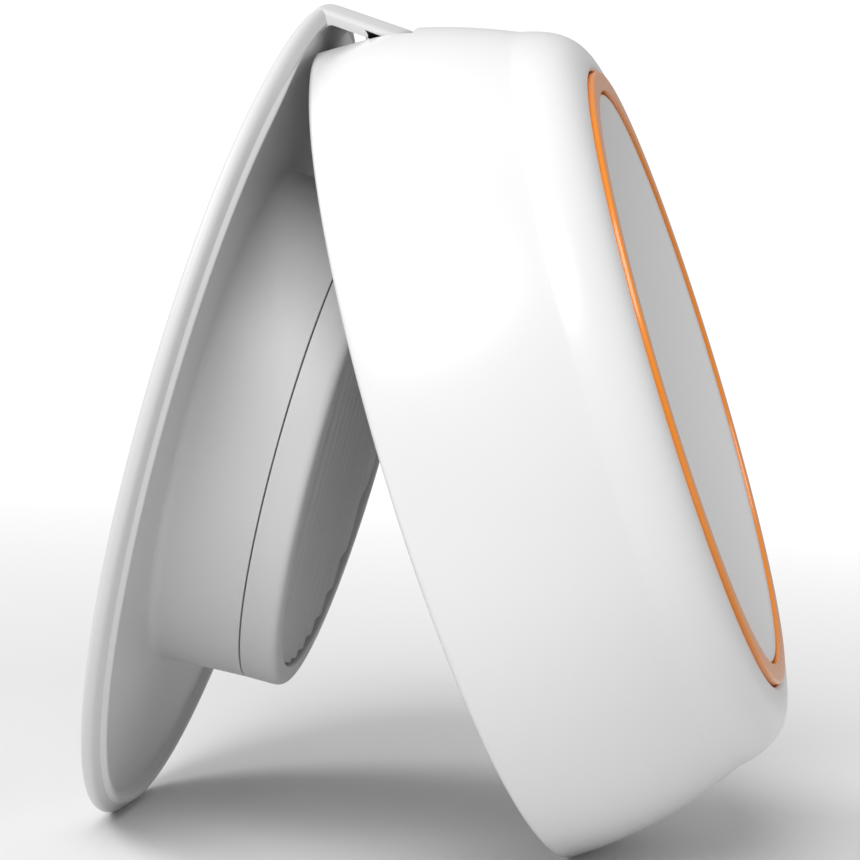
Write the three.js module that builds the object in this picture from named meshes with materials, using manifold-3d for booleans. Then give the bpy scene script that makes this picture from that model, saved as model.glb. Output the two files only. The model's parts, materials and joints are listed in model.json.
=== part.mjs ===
// Hinged two-disc mesh wifi node, standing open like a tent.
// Millimetres, +Z up, origin on the floor under the middle of the object, hinge axis along Y.
// Each half is modelled in its own axes: x runs along the disc's axis towards the front,
// z runs up the disc towards the hinge, and the disc's rear rim plane is x = 0.
import * as THREE from "three";
import { mergeVertices } from "three/addons/utils/BufferGeometryUtils.js";
import Module from "manifold-3d";

const wasm = await Module();
wasm.setup();

// Driving dimensions

const gap = 0.3; // between pieces that touch
const openAngle = 32.46; // between the two discs when the node stands open, degrees
const footTrim = 0.3; // how much the floor plane shaves off each rim to give it a foot

// head
const headRadius = 60.2; // band radius at the rear rim
const headDepth = 35.2; // rear rim to the front land
const bandTaper = 10.4; // how much the crowned band would lose over its full depth
const bandPower = 1.88; // how late the crown starts to fall away
const edgeDepth = 8.7; // how far behind the front land the crown ends and the edge starts to round
const edgePull = 1.5; // how far the crown's line carries on into that rounding
const landPull = 0.864; // share of the rounding's height over which the land's line carries on
const frontDrop = 0.7; // the band's front sits this much lower than its rear
const shellWall = 2.5;
const rimRound = 0.9;
const ringInset = 15.35; // the accent ring's edge, in from the rear rim's radius
const ringWidth = 2.85;
const ringProud = 0.65;
const ringChamfer = 0.4;
const ringSink = 2.2; // face of the ledge that carries the ring, behind the land
const ledgeThick = 1.6;
const dishStep = 0.3; // lip of the dish, behind the ring's face
const dishDepth = 6.35;
const dishWall = 1.8;
const dishSkirt = 4; // the dish's skirt reaches this far behind the ring's seat

// back plate
const plateStep = 0.8; // the plate's radius is this much less than the head's
const plateBack = 0; // outer face of the plate
const innerFace = 2.0; // recessed inner face
const seatPlane = 2.6; // valley between the rounded edge and the lip
const edgeWidth = 1.6; // rounded edge outside the lip
const lipWidth = 1.3;
const lipTop = 3.4;
const lipRun = 16; // the lip stops this far to each side of the arm
const browInset = 4.1; // the rim swells to meet the arm on a circle this much smaller
const padMargin = 13.4; // from the plate's edge to the rubber pad
const padThick = 1.6;
const padProud = 1.1;

// pod on the plate
const podDraft = 0.65; // how much narrower the pod is at the parting line
const capHeight = 5.4; // parting line to the pod's top
const podWall = 2.4;
const podRound = 1.9;
const splitGap = 0.2;
const podRim = 3.15; // round the recess that holds the ribbed pad
const recessDepth = 1.9;
const ribClearance = 0.3;
const ribPitch = 4.75;
const ribHeight = 0.6;
const padSheet = 0.6; // the ribbed pad's thickness under its flutes

// arm and hinge
const armProud = 1.0; // top of the arm above the plate's edge
const armTaper = 0.065; // fall of the arm's top for each millimetre forward
const armThick = 1.6;
const armHalfWidth = 10;
const armPast = 2.2; // the arm ends this far forward of the hinge axis
const rimClearance = 0.45; // plate's inner face to the head's rear rim, at the top, when open
const closedRise = 0.6; // the plate sits this much higher than the head when folded
const easeDepth = 1.0; // the band is flattened this much where the arm crosses its rim
const easeFlat = 19.8; // the flattened curve's radius is this much more than the band's
const easeSlope = 2.1; // degrees, so the flattening runs out just past the slot
const pivotDrop = 6.62; // hinge axis below the head's rear rim at the top
const pivotDepth = 7.0; // hinge axis forward of the head's rear rim
const pinRadius = 1.2;
const pinClearance = 0.08;
const barrelRadius = 2.5;
const washerThick = 0.4;
const earThick = 2.8;
const earFoot = 1.9; // the ear's foot reaches this far past its cheek
const earRadius = 2.2;
const sideClearance = 0.1;
const slotClearance = 1.2; // ahead of the arm's tip when the node is open
const kneeClearance = 1.1; // behind the barrel
const screwHead = 1.9; // radius

// inside the head
const coverFace = 3.4; // rear cover's outer annulus
const coverWall = 1.6;
const podClearance = 2.6; // round the folded pod
const foldClearance = 1.2; // ahead of the folded pod
const bayMargin = 2.4; // from an ear's cheek to the bay's side wall
const bayDrop = 4.78; // floor of the bay below the hinge axis
const boardClearance = 0.5; // from the board's edge to the shell's inside
const boardThick = 1.6;
const chipHeight = 2.0;
const canHeight = 1.7;
const spreaderThick = 1.2;
const postInset = 5.8;
const postRadius = 3.1;
const postAngles = [45, 135, 225, 315];
const antennaAngles = [62, 100, 260, 298];
const antennaInset = 9.6;
const jackMargin = 6.4; // from the rear rim's radius to the sockets' outer side
const jackSize = { across: 16, radial: 12.8, long: 13.4 };
const jackAngles = { ethernet_jack_wan: 150, ethernet_jack_lan: 210 };
const powerJackAngle = 180;
const lightAngle = 165;
const buttonAngles = { sync_button: 118, reset_button: 242 };
const buttonRadius = { sync_button: 3.5, reset_button: 1.2 };
const buttonProud = { sync_button: -0.5, reset_button: 0.4 };
const buttonTravel = 0.8;

const turn = 60; // steps round a full-size disc
const midTurn = 48; // steps round the pod, the ring and the dish
const smallTurn = 16;

// Sizes and places that follow from the driving dimensions

const spread = THREE.MathUtils.degToRad(openAngle);
const bandDepth = headDepth - edgeDepth;
const ringOuter = headRadius - ringInset;
const ringInner = ringOuter - ringWidth;
const ringCrest = headDepth + ringProud;
const ringSeat = headDepth - ringSink;
const dishLip = ringCrest - dishStep;

// Plate rim plane to head rim plane when folded: as far as the open plate needs to clear the rim,
// where the band is eased under the arm.
const rimCorner = 0.3 * rimRound;
const closedGap =
  innerFace +
  rimClearance +
  (pivotDrop - easeDepth - rimCorner) * Math.sin(spread) -
  rimCorner * Math.cos(spread) -
  pivotDepth * (1 - Math.cos(spread));

// The stack behind the dish: heat spreader, shield cans, board, processor, rear cover, folded pod.
const spreaderFront = dishLip - dishDepth - dishWall - gap;
const spreaderRear = spreaderFront - spreaderThick;
const boardFront = spreaderRear - gap - canHeight - gap;
const boardRear = boardFront - boardThick;
const processorRear = boardRear - gap - chipHeight;
const cavityFloor = processorRear - 2 * gap - coverWall;
const podHeight = cavityFloor - foldClearance + closedGap;

// The ring of sockets round the pod's hollow.
const jackCircle = headRadius - jackMargin - jackSize.radial / 2;
const cavityRadius = jackCircle - jackSize.radial / 2 - 0.8 - coverWall;
const podRadius = cavityRadius - podClearance;
const podSplit = podHeight - capHeight;
const podPostTop = podSplit - 5.7;
const podPostCircle = podRadius - 8.5;
const podPostRadius = 2.6;
const postsInPod = [90, 210, 330];

const plateRadius = headRadius - plateStep;
const lipOuter = plateRadius - edgeWidth;
const lipInner = lipOuter - lipWidth;
const armRadius = plateRadius + armProud; // top of the arm at the plate, concentric with it
const browRadius = plateRadius - browInset;
const browRise = armRadius - 0.1 - browRadius;
const padRadius = plateRadius - padMargin;

const postCircle = headRadius - postInset;
const screwCircle = postCircle - 1;
const antennaCircle = headRadius - antennaInset;

// Shape helpers

function toSolid(geometry) {
  const bare = geometry.index ? geometry.toNonIndexed() : geometry.clone();
  bare.deleteAttribute("normal");
  bare.deleteAttribute("uv");
  const merged = mergeVertices(bare, 1e-4);
  return new wasm.Manifold(
    new wasm.Mesh({
      numProp: 3,
      vertProperties: merged.attributes.position.array,
      triVerts: new Uint32Array(merged.index.array),
    }),
  );
}

function toGeometry(solid) {
  const mesh = solid.getMesh();
  const geometry = new THREE.BufferGeometry();
  geometry.setAttribute("position", new THREE.BufferAttribute(mesh.vertProperties, 3));
  geometry.setIndex(new THREE.BufferAttribute(mesh.triVerts, 1));
  return geometry;
}

// A ring or disc from a closed [radius, x] outline, spun about the disc's own axis.
function spin(outline, steps = turn) {
  const points = outline.map(([r, x]) => new THREE.Vector2(r, x));
  const onAxis = outline[0][0] === 0 && outline.at(-1)[0] === 0;
  if (!onAxis) points.push(points[0].clone());
  const geometry = new THREE.LatheGeometry(points, steps);
  return toSolid(geometry.rotateZ(-Math.PI / 2));
}

function arcPoints(cx, cy, radius, from, to, steps) {
  return Array.from({ length: steps + 1 }, (_, i) => {
    const a = THREE.MathUtils.degToRad(from + ((to - from) * i) / steps);
    return [cx + radius * Math.cos(a), cy + radius * Math.sin(a)];
  });
}

function box(x0, x1, y0, y1, z0, z1) {
  const geometry = new THREE.BoxGeometry(x1 - x0, y1 - y0, z1 - z0);
  return toSolid(geometry.translate((x0 + x1) / 2, (y0 + y1) / 2, (z0 + z1) / 2));
}

// A cylinder along the disc's axis, from x0 to x1.
function rod(radius, x0, x1, y = 0, z = 0, steps = smallTurn) {
  const geometry = new THREE.CylinderGeometry(radius, radius, x1 - x0, steps);
  geometry.rotateZ(-Math.PI / 2).translate((x0 + x1) / 2, y, z);
  return toSolid(geometry);
}

// A cylinder along the hinge, from y0 to y1.
function axle(radius, y0, y1, x, z, steps = 24) {
  const geometry = new THREE.CylinderGeometry(radius, radius, y1 - y0, steps);
  return toSolid(geometry.translate(x, (y0 + y1) / 2, z));
}

// A cylinder along z.
function post(radius, z0, z1, x, y, steps = smallTurn) {
  const geometry = new THREE.CylinderGeometry(radius, radius, z1 - z0, steps);
  geometry.rotateX(Math.PI / 2).translate(x, y, (z0 + z1) / 2);
  return toSolid(geometry);
}

// An outline in the x-z plane, given width along y.
function slab(outline, y0, y1) {
  const shape = new THREE.Shape(outline.map(([x, z]) => new THREE.Vector2(x, z)));
  const geometry = new THREE.ExtrudeGeometry(shape, { depth: y1 - y0, bevelEnabled: false });
  return toSolid(geometry.rotateX(Math.PI / 2).translate(0, y1, 0));
}

// The same solid turned about the disc's axis, clockwise from the hinge as seen from behind.
const around = (solid, degrees) => solid.rotate([-degrees, 0, 0]);

const join = (...solids) => solids.reduce((all, next) => all.add(next));

// Materials

const finish = (color, roughness, metalness = 0) =>
  new THREE.MeshStandardMaterial({ color, roughness, metalness });
const finishes = {
  glossWhite: finish(0xf1f1f0, 0.28),
  satinWhite: finish(0xe2e2e1, 0.5),
  orange: finish(0xf2911f, 0.35),
  padGrey: finish(0xcfcfce, 0.6),
  rubber: finish(0x3a3b3d, 0.85),
  coverGrey: finish(0xd6d6d5, 0.55),
  steel: finish(0xb9bcc0, 0.3, 1),
  brass: finish(0xc9a45a, 0.35, 1),
  board: finish(0x1f5a3a, 0.5),
  chip: finish(0x1c1c1f, 0.45),
  tin: finish(0xc4c7ca, 0.35, 1),
  aluminium: finish(0xc8cacd, 0.4, 1),
  lightGuide: finish(0xf6f3ea, 0.3),
  cell: finish(0x4a6a8c, 0.4),
  button: finish(0xbfc1c3, 0.45),
};

const model = new THREE.Group();
const plateGroup = new THREE.Group();
const headGroup = new THREE.Group();
model.add(plateGroup, headGroup);

// Stance: where the two halves stand

const pivotHeight = headRadius - pivotDrop;
const pivotInHead = new THREE.Vector3(pivotDepth, 0, pivotHeight);
const pivotInPlate = new THREE.Vector3(pivotDepth + closedGap, 0, pivotHeight - closedRise);
const armReach = pivotInPlate.x + armPast;

// The lowest points of the two rims, measured from the hinge, level out at the stance angle.
const headToe = new THREE.Vector3(rimRound, 0, -headRadius).sub(pivotInHead);
const plateToe = new THREE.Vector3(1.1, 0, -plateRadius).sub(pivotInPlate);
const upright = (v, angle) => v.clone().applyAxisAngle(new THREE.Vector3(0, 1, 0), angle);
const stride = headToe.clone().sub(upright(plateToe, spread));
const headLean = Math.atan2(stride.z, stride.x);
const plateLean = headLean + spread;
const footLine = new THREE.Vector3(rimRound, 0, -headRadius + footTrim).sub(pivotInHead);
const pivotRise = -upright(footLine, headLean).z;

function standHalf(group, lean, pivot) {
  group.rotation.y = lean;
  group.position.copy(upright(pivot, lean).negate());
  group.position.z += pivotRise;
}
standHalf(headGroup, headLean, pivotInHead);
standHalf(plateGroup, plateLean, pivotInPlate);

// The floor under a half, in that half's own axes.
function floorUnder(group) {
  group.updateMatrixWorld(true);
  const back = group.matrixWorld.clone().invert();
  const geometry = new THREE.BoxGeometry(400, 400, 50).translate(0, 0, -25);
  return toSolid(geometry.applyMatrix4(back));
}

function place(group, name, solid, material) {
  const mesh = new THREE.Mesh(toGeometry(solid), material);
  mesh.name = name;
  group.add(mesh);
}

// Screws

const screwShaft = 1;

// A pan-head screw along x: head face at x0, shaft running to x0 + length.
function screwAlongX(x0, length, y, z, headThick = 1.1) {
  return join(
    rod(screwHead, x0 - headThick, x0, y, z, 12),
    rod(screwShaft, x0 - 0.1, x0 + length, y, z, 8),
  );
}

// Back plate

const polar = (radius, degrees) => {
  const a = THREE.MathUtils.degToRad(degrees);
  return [radius * Math.sin(a), radius * Math.cos(a)]; // y, z
};

// The plate's rounded edge, from the outer face to the valley inside it.
const edgeOutline = (radius) => [
  [radius - 3, plateBack],
  [radius - 0.9, plateBack + 0.05],
  [radius - 0.25, plateBack + 0.45],
  [radius, plateBack + 1.1],
  [radius - 0.35, plateBack + 1.8],
  [lipOuter - plateRadius + radius, seatPlane],
];

const lipOutline = [
  [lipOuter, innerFace - 0.5],
  [lipOuter, seatPlane],
  [lipOuter - 0.35 * lipWidth, lipTop - 0.1],
  [lipOuter - 0.6 * lipWidth, lipTop],
  [lipInner, lipTop - 0.2],
  [lipInner - 0.3, innerFace - 0.5],
];

const podTop = podSplit - splitGap / 2;
const podSplitRadius = podRadius - podDraft;

const armTop = (x) => armRadius - armTaper * x;
const kneeX = pivotInPlate.x;
const kneeZ = pivotInPlate.z;

const boardScrewLength = 5;

function backPlate() {
  const disc = spin([
    [0, plateBack],
    ...edgeOutline(plateRadius),
    [lipOuter - 0.5, innerFace],
    [0, innerFace],
  ]);
  const brow = spin([
    [browRadius - 12, plateBack],
    ...edgeOutline(browRadius),
    [browRadius - 1.7, innerFace],
    [browRadius - 12, innerFace],
  ]).translate([0, 0, browRise]);
  const lipEnd = armHalfWidth + lipRun;
  const lip = spin(lipOutline).subtract(box(innerFace, lipTop + 1, -lipEnd, lipEnd, 0, plateRadius));
  const podOutline = [
    [podRadius + 1.7, innerFace - 0.5],
    [podRadius + 1.7, innerFace],
    [podRadius + 0.5, innerFace + 0.5],
    [podRadius, innerFace + 1.7],
    [podSplitRadius, podTop],
    [podRadius - podWall, podTop],
    [podRadius - podWall, innerFace - 0.5],
  ];
  const arm = spin([
    [armTop(0) - 6, plateBack + 0.3],
    [armTop(0) - 0.9, plateBack + 0.3],
    [armTop(0) - 0.25, plateBack + 0.6],
    [armTop(0), plateBack + 1.2],
    [armTop(armReach - 1), armReach - 1],
    [armTop(armReach) - 0.4, armReach - 0.2],
    [armTop(armReach) - 1.2, armReach],
    [armTop(armReach) - armThick - 1, armReach],
    [armTop(innerFace) - armThick, innerFace + 1.2],
    [armTop(innerFace) - armThick - 0.5, innerFace + 0.4],
    [armTop(innerFace) - armThick - 1.4, innerFace],
    [armTop(0) - 6, innerFace],
  ]).intersect(box(-10, armReach + 5, -armHalfWidth, armHalfWidth, 0, armRadius + 5));
  // The knee carries the arm's end down to the hinge barrel inside the head.
  const armUnder = armTop(kneeX) - armThick - 0.3;
  const knee = slab(
    [
      [kneeX - barrelRadius, kneeZ],
      [kneeX + barrelRadius, kneeZ],
      [armReach, kneeZ + 2.6],
      [armReach, armUnder + 0.6],
      [kneeX - barrelRadius - 0.8, armUnder + 0.6],
      [kneeX - barrelRadius - 0.3, armUnder - 0.3],
      [kneeX - barrelRadius, armUnder - 1.2],
    ],
    -armHalfWidth,
    armHalfWidth,
  );
  const barrel = axle(barrelRadius, -armHalfWidth, armHalfWidth, kneeX, kneeZ);
  const posts = postsInPod.map((a) => {
    const [y, z] = polar(podPostCircle, a);
    return rod(podPostRadius, innerFace - 0.5, podPostTop, y, z);
  });
  const padRecess = rod(padRadius + gap, plateBack - 1, plateBack + padThick - padProud + gap, 0, 0, turn);
  const whole = join(disc, brow, lip, spin(podOutline, midTurn), arm, knee, barrel, ...posts);
  const screwHoles = postsInPod.map((a) => {
    const [y, z] = polar(podPostCircle, a);
    return rod(screwShaft + gap, podPostTop - boardScrewLength - 0.4, podPostTop + 1, y, z, 8);
  });
  const bore = axle(pinRadius + pinClearance, -armHalfWidth - 1, armHalfWidth + 1, kneeX, kneeZ);
  return whole.subtract(join(padRecess, bore, floorUnder(plateGroup), ...screwHoles));
}
place(plateGroup, "back_plate", backPlate(), finishes.satinWhite);

place(
  plateGroup,
  "rubber_pad",
  spin([
    [0, plateBack - padProud],
    [padRadius - 0.5, plateBack - padProud],
    [padRadius, plateBack - padProud + 0.4],
    [padRadius, plateBack - padProud + padThick],
    [0, plateBack - padProud + padThick],
  ]),
  finishes.rubber,
);

// Pod

const capBase = podSplit + splitGap / 2;
const recessFloor = podHeight - recessDepth;
const recessRadius = podSplitRadius - podRim;
const ribRadius = recessRadius - ribClearance;
const spigot = podRadius - podWall - gap;

place(
  plateGroup,
  "pod_cap",
  spin([
    [0, recessFloor - 1.6],
    [spigot - 1.6, recessFloor - 1.6],
    [spigot - 1.6, podSplit - 2],
    [spigot, podSplit - 2],
    [spigot, capBase],
    [podSplitRadius, capBase],
    ...arcPoints(podSplitRadius - podRound - 0.1, podHeight - podRound, podRound, 0, 90, 4),
    [recessRadius + 0.5, podHeight],
    [recessRadius, podHeight - 0.5],
    [recessRadius, recessFloor],
    [0, recessFloor],
  ], midTurn),
  finishes.satinWhite,
);

// Parallel flutes run up the pad at right angles to the hinge, with a ridge between each two.
function ribbedPad() {
  const base = recessFloor + gap;
  const valley = base + padSheet;
  const outline = [[base, -ribRadius - ribPitch], [base, ribRadius + ribPitch]];
  const flutes = Math.ceil(ribRadius / ribPitch);
  for (let i = flutes; i >= -flutes; i--) {
    for (const k of [0.5, 0.42, 0.25, 0, -0.25, -0.42]) {
      outline.push([valley + ribHeight * (2 * k) ** 2, (i + k) * ribPitch]);
    }
  }
  const shape = new THREE.Shape(outline.map(([x, y]) => new THREE.Vector2(x, y)));
  const geometry = new THREE.ExtrudeGeometry(shape, { depth: 2 * podRadius, bevelEnabled: false });
  const sheet = toSolid(geometry.translate(0, 0, -podRadius));
  return sheet.intersect(rod(ribRadius, base - 1, podHeight, 0, 0, midTurn));
}
place(plateGroup, "ribbed_pad", ribbedPad(), finishes.padGrey);

// The cell fills the room between the three posts.
const cellHalf = podPostCircle * Math.cos(Math.PI / 6) - podPostRadius - 2.2;
place(
  plateGroup,
  "battery_cell",
  box(innerFace + gap, podPostTop - 1.6, 2 - cellHalf, cellHalf - 2, -cellHalf, cellHalf),
  finishes.cell,
);

function chargeBoard() {
  const rear = podPostTop + gap;
  const holes = postsInPod.map((a) => {
    const [y, z] = polar(podPostCircle, a);
    return rod(screwShaft + gap, rear - 1, rear + 3, y, z, 8);
  });
  return rod(podRadius - podWall - 2.6, rear, rear + 1.2, 0, 0, midTurn).subtract(join(...holes));
}
place(plateGroup, "charge_board", chargeBoard(), finishes.board);

const boardTop = podPostTop + gap + 1.2;
place(plateGroup, "charge_inductor", rod(4, boardTop + gap, boardTop + 3.6, -12, 9, 20), finishes.chip);
place(
  plateGroup,
  "battery_connector",
  box(boardTop + gap, boardTop + 3.4, 8, 17, 8, 13),
  finishes.glossWhite,
);
postsInPod.forEach((a, i) => {
  const [y, z] = polar(podPostCircle, a);
  const screw = screwAlongX(0, boardScrewLength, 0, 0).rotate([0, 180, 0]);
  place(plateGroup, `board_screw_${i + 1}`, screw.translate([boardTop + gap, y, z]), finishes.steel);
});

// Head shell

const crownDepth = headDepth - 0.2;
const bandRadius = (x) => headRadius - bandTaper * Math.pow(Math.max(x, 0) / crownDepth, bandPower);
const ringGroove = ringOuter + gap;
const frontLand = ringGroove + 0.8;

// The outer profile of the band and its rounded front edge, without the wall.
function bandOutline() {
  const rear = [
    [headRadius - rimRound, 0],
    [headRadius - rimRound * 0.3, rimRound * 0.3],
    [headRadius - 0.05, rimRound],
  ];
  const crown = [0.25, 0.5, 0.75].map((k) => [bandRadius(k * bandDepth), k * bandDepth]);
  const corner = new THREE.Vector2(bandRadius(bandDepth), bandDepth);
  const along = corner.clone().sub(new THREE.Vector2(bandRadius(bandDepth - 0.1), bandDepth - 0.1));
  const edge = new THREE.CubicBezierCurve(
    corner,
    along.setLength(edgePull).add(corner),
    new THREE.Vector2(frontLand + landPull * (corner.x - frontLand), headDepth),
    new THREE.Vector2(frontLand, headDepth),
  );
  return [...rear, ...crown, ...edge.getPoints(7).map((p) => [p.x, p.y])];
}

// The band's rings slide down a little towards the front.
const slideDown = (solid) =>
  solid.transform([1, 0, -frontDrop / crownDepth, 0, 0, 1, 0, 0, 0, 0, 1, 0, 0, 0, 0, 1]);

const channelHalf = armHalfWidth + 0.6;
const earInner = armHalfWidth + washerThick + 2 * sideClearance;
const earOuter = earInner + earThick;
const channelFloor = (x) => armTop(x + closedGap) - armThick + closedRise - 0.4;
const slotRear = pivotDepth - barrelRadius - kneeClearance;
const tipRise = armTop(armReach) - kneeZ;
const tipReach = pivotDepth + armPast * Math.cos(spread) + tipRise * Math.sin(spread);
const slotFront = tipReach + slotClearance;
const bayBottom = pivotHeight - bayDrop;
const bayFront = slotFront + 0.2;
const bayHalfWidth = earOuter + bayMargin;
const outside = headRadius + 20; // well clear of the head

// How far out a solid may reach inside the shell, at a distance forward of the rim.
const roomRadius = (x) => (x <= 6 ? headRadius : bandRadius(x)) - shellWall - 0.4;

function frontShell() {
  const solidBand = slideDown(spin([[0, 0], ...bandOutline(), [0, headDepth]]));
  const frontBore = spin([
    [0, ringSeat],
    [ringGroove, ringSeat],
    [ringGroove, headDepth - 0.45],
    [frontLand, headDepth + 0.02],
    [frontLand, headDepth + 5],
    [0, headDepth + 5],
  ]);
  const hollow = spin([
    [0, -5],
    [roomRadius(0), -5],
    ...[6, 13, 18, bandDepth - 3.5].map((x) => [roomRadius(x), x]),
    [roomRadius(bandDepth) - 0.6, bandDepth],
    [ringOuter + 1.5, ringSeat - ledgeThick],
    [0, ringSeat - ledgeThick],
  ]);
  const earRoof = pivotHeight + earRadius + gap;
  const earRoom = box(coverFace, bayFront, -earOuter - gap, earOuter + gap, bayBottom - 8, earRoof);
  const throat = rod(ringOuter - 1.6, ringSeat - 10, headDepth + 5, 0, 0, turn);
  const posts = postAngles.map((a) => {
    const [y, z] = polar(postCircle, a);
    const [yIn, zIn] = polar(postCircle - 1.6, a);
    return join(
      rod(postRadius, coverFace + coverWall + gap, boardFront + 6, y, z),
      rod(postRadius, boardFront + gap, boardFront + 6, yIn, zIn),
    );
  });
  const pilots = postAngles.map((a) => {
    const [y, z] = polar(screwCircle, a);
    return rod(screwShaft + gap, coverFace, coverFace + 11.6, y, z, 8);
  });
  const band = solidBand.subtract(join(frontBore, hollow, throat, earRoom));
  const insideBand = slideDown(
    spin([[0, 0.2], ...bandOutline().map(([r, x]) => [r - 0.6, x]), [0, headDepth - 0.6]]),
  );
  const ribbed = band.add(join(...posts).intersect(insideBand));
  // The arm lies in this channel when the node is folded, and its knee passes through the slot.
  const channel = spin([
    [channelFloor(0), -1],
    [outside, -1],
    [outside, slotFront],
    [channelFloor(slotFront), slotFront],
  ]).intersect(box(-2, slotFront, -channelHalf, channelHalf, bayBottom, outside));
  const slot = box(slotRear, slotFront, -channelHalf, channelHalf, pivotHeight - 3.5, outside);
  // Where the arm crosses the rim, the band is eased to a flatter curve.
  const easeRadius = headRadius + easeFlat;
  const ease = rod(easeRadius, -headRadius, 3 * headDepth, 0, 0, 160)
    .rotate([0, easeSlope, 0])
    .translate([0, 0, headRadius - easeDepth - easeRadius]);
  return ribbed.subtract(join(channel, slot, floorUnder(headGroup), ...pilots)).intersect(ease);
}
place(headGroup, "front_shell", frontShell(), finishes.glossWhite);

place(
  headGroup,
  "accent_ring",
  spin([
    [ringInner, ringSeat + gap],
    [ringOuter, ringSeat + gap],
    [ringOuter, ringCrest - ringChamfer],
    [ringOuter - ringChamfer, ringCrest],
    [ringInner + ringChamfer / 2, ringCrest],
    [ringInner, ringCrest - ringChamfer / 2],
  ], midTurn),
  finishes.orange,
);

// A shallow bowl with a skirt that drops behind the ring.
function frontDish() {
  const rim = ringInner - gap;
  const bowlRadius = (rim ** 2 + dishDepth ** 2) / (2 * dishDepth);
  const bowl = (r) => dishLip - dishDepth + bowlRadius - Math.sqrt(bowlRadius ** 2 - r ** 2);
  const steps = [0, 0.25, 0.5, 0.75, 0.95];
  const face = steps.map((k) => [k * rim, bowl(k * rim)]).reverse();
  const skirt = rim - 1.5;
  const back = steps.filter((k) => k * rim < skirt).map((k) => [k * rim, bowl(k * rim) - dishWall]);
  const foot = ringSeat - dishSkirt;
  const edge = [[skirt, bowl(skirt) - dishWall], [skirt, foot], [rim, foot], [rim, dishLip - 0.3]];
  return spin([...back, ...edge, ...face], midTurn);
}
place(headGroup, "front_dish", frontDish(), finishes.glossWhite);

const ledgeBack = ringSeat - ledgeThick;
const guideOuter = ringOuter - 1.6 - gap;
place(
  headGroup,
  "light_guide",
  spin([
    [ringInner + 0.1, ledgeBack - 1.8],
    [ringOuter + 1.35, ledgeBack - 1.8],
    [ringOuter + 1.35, ledgeBack - gap],
    [guideOuter, ledgeBack - gap],
    [guideOuter, ringSeat],
    [ringInner + 0.1, ringSeat],
  ], midTurn),
  finishes.lightGuide,
);

// Rear cover and its hinge bay

const coverRadius = roomRadius(0) - gap;
const coverInside = coverFace + coverWall;
const screwSink = 0.8;
const earScrewDepth = bayFront - screwHead - 0.2;
const earScrewSide = (earInner + earOuter + earFoot) / 2;

const powerSize = { across: 9.4, radial: 3.6 };
const lightRadius = 1.2;

// A rectangular hole or block at a place round the annulus.
function blockAt(angle, circle, across, radial, x0, x1) {
  return around(box(x0, x1, -across / 2, across / 2, circle - radial / 2, circle + radial / 2), angle);
}

function rearCover() {
  const dished = spin([
    [0, cavityFloor],
    [cavityRadius - 1, cavityFloor],
    [cavityRadius, cavityFloor - 1],
    [cavityRadius, coverFace + 0.6],
    [cavityRadius + 0.6, coverFace],
    [coverRadius, coverFace],
    [coverRadius, coverInside],
    [cavityRadius + coverWall, coverInside],
    [cavityRadius + coverWall, cavityFloor + coverWall],
    [0, cavityFloor + coverWall],
  ]);
  const insideRim = spin([
    [0, coverFace],
    ...[coverFace, 6, 13, 18].map((x) => [roomRadius(x) - gap - (frontDrop * x) / crownDepth, x]),
    [0, 18],
  ]);
  const bayWall = box(
    coverFace,
    bayFront + coverWall,
    -bayHalfWidth - coverWall,
    bayHalfWidth + coverWall,
    bayBottom - coverWall,
    outside,
  ).intersect(insideRim);
  const bay = box(-1, bayFront, -bayHalfWidth, bayHalfWidth, bayBottom, outside);
  const jacks = Object.values(jackAngles).map((a) =>
    blockAt(a, jackCircle, jackSize.across + 2 * gap, jackSize.radial + 2 * gap, 0, coverInside + 1),
  );
  const { across, radial } = powerSize;
  const power = blockAt(powerJackAngle, jackCircle, across + 2 * gap, radial + 2 * gap, 0, coverInside + 1);
  const buttonHoles = Object.entries(buttonAngles).map(([name, a]) => {
    const [y, z] = polar(jackCircle, a);
    return rod(buttonRadius[name] + gap, 0, coverInside + 1, y, z, 20);
  });
  const lightHole = rod(lightRadius + gap, 0, coverInside + 1, ...polar(jackCircle, lightAngle), 12);
  const screws = postAngles.map((a) => {
    const [y, z] = polar(screwCircle, a);
    const sink = rod(screwHead + gap, 0, coverFace + screwSink, y, z, 12);
    return join(rod(screwShaft + gap, 0, coverInside + 1, y, z, 8), sink);
  });
  const earHoles = [-1, 1].map((side) =>
    post(screwShaft + gap, bayBottom - 4, bayBottom + 1, earScrewDepth, side * earScrewSide, 8),
  );
  const cuts = [bay, power, lightHole, ...jacks, ...buttonHoles, ...screws, ...earHoles];
  return dished.add(bayWall).subtract(join(...cuts));
}
place(headGroup, "rear_cover", rearCover(), finishes.coverGrey);

postAngles.forEach((a, i) => {
  const [y, z] = polar(screwCircle, a);
  const screw = screwAlongX(coverFace + screwSink - gap, 9, y, z, 0.9);
  place(headGroup, `cover_screw_${i + 1}`, screw, finishes.steel);
});

// Hinge

// A bracket: a cheek that carries the pin, on a foot that is screwed to the bay's floor.
const footThick = 1.4;

function hingeEar(side) {
  const low = bayBottom + gap;
  const between = (a, b) => [Math.min(side * a, side * b), Math.max(side * a, side * b)];
  const cheek = slab(
    [
      [pivotDepth - earRadius, low],
      [pivotDepth + earRadius, low],
      ...arcPoints(pivotDepth, pivotHeight, earRadius, 0, 180, 6),
    ],
    ...between(earInner, earOuter),
  );
  const footEnds = [pivotDepth - earRadius, bayFront - gap];
  const foot = box(...footEnds, ...between(earInner, earOuter + earFoot), low, low + footThick);
  const bore = axle(pinRadius + 0.02, ...between(earInner - 1, earOuter + 3), pivotDepth, pivotHeight);
  const hole = post(screwShaft + gap, low - 1, low + 3, earScrewDepth, side * earScrewSide, 8);
  return cheek.add(foot).subtract(join(bore, hole));
}

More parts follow.
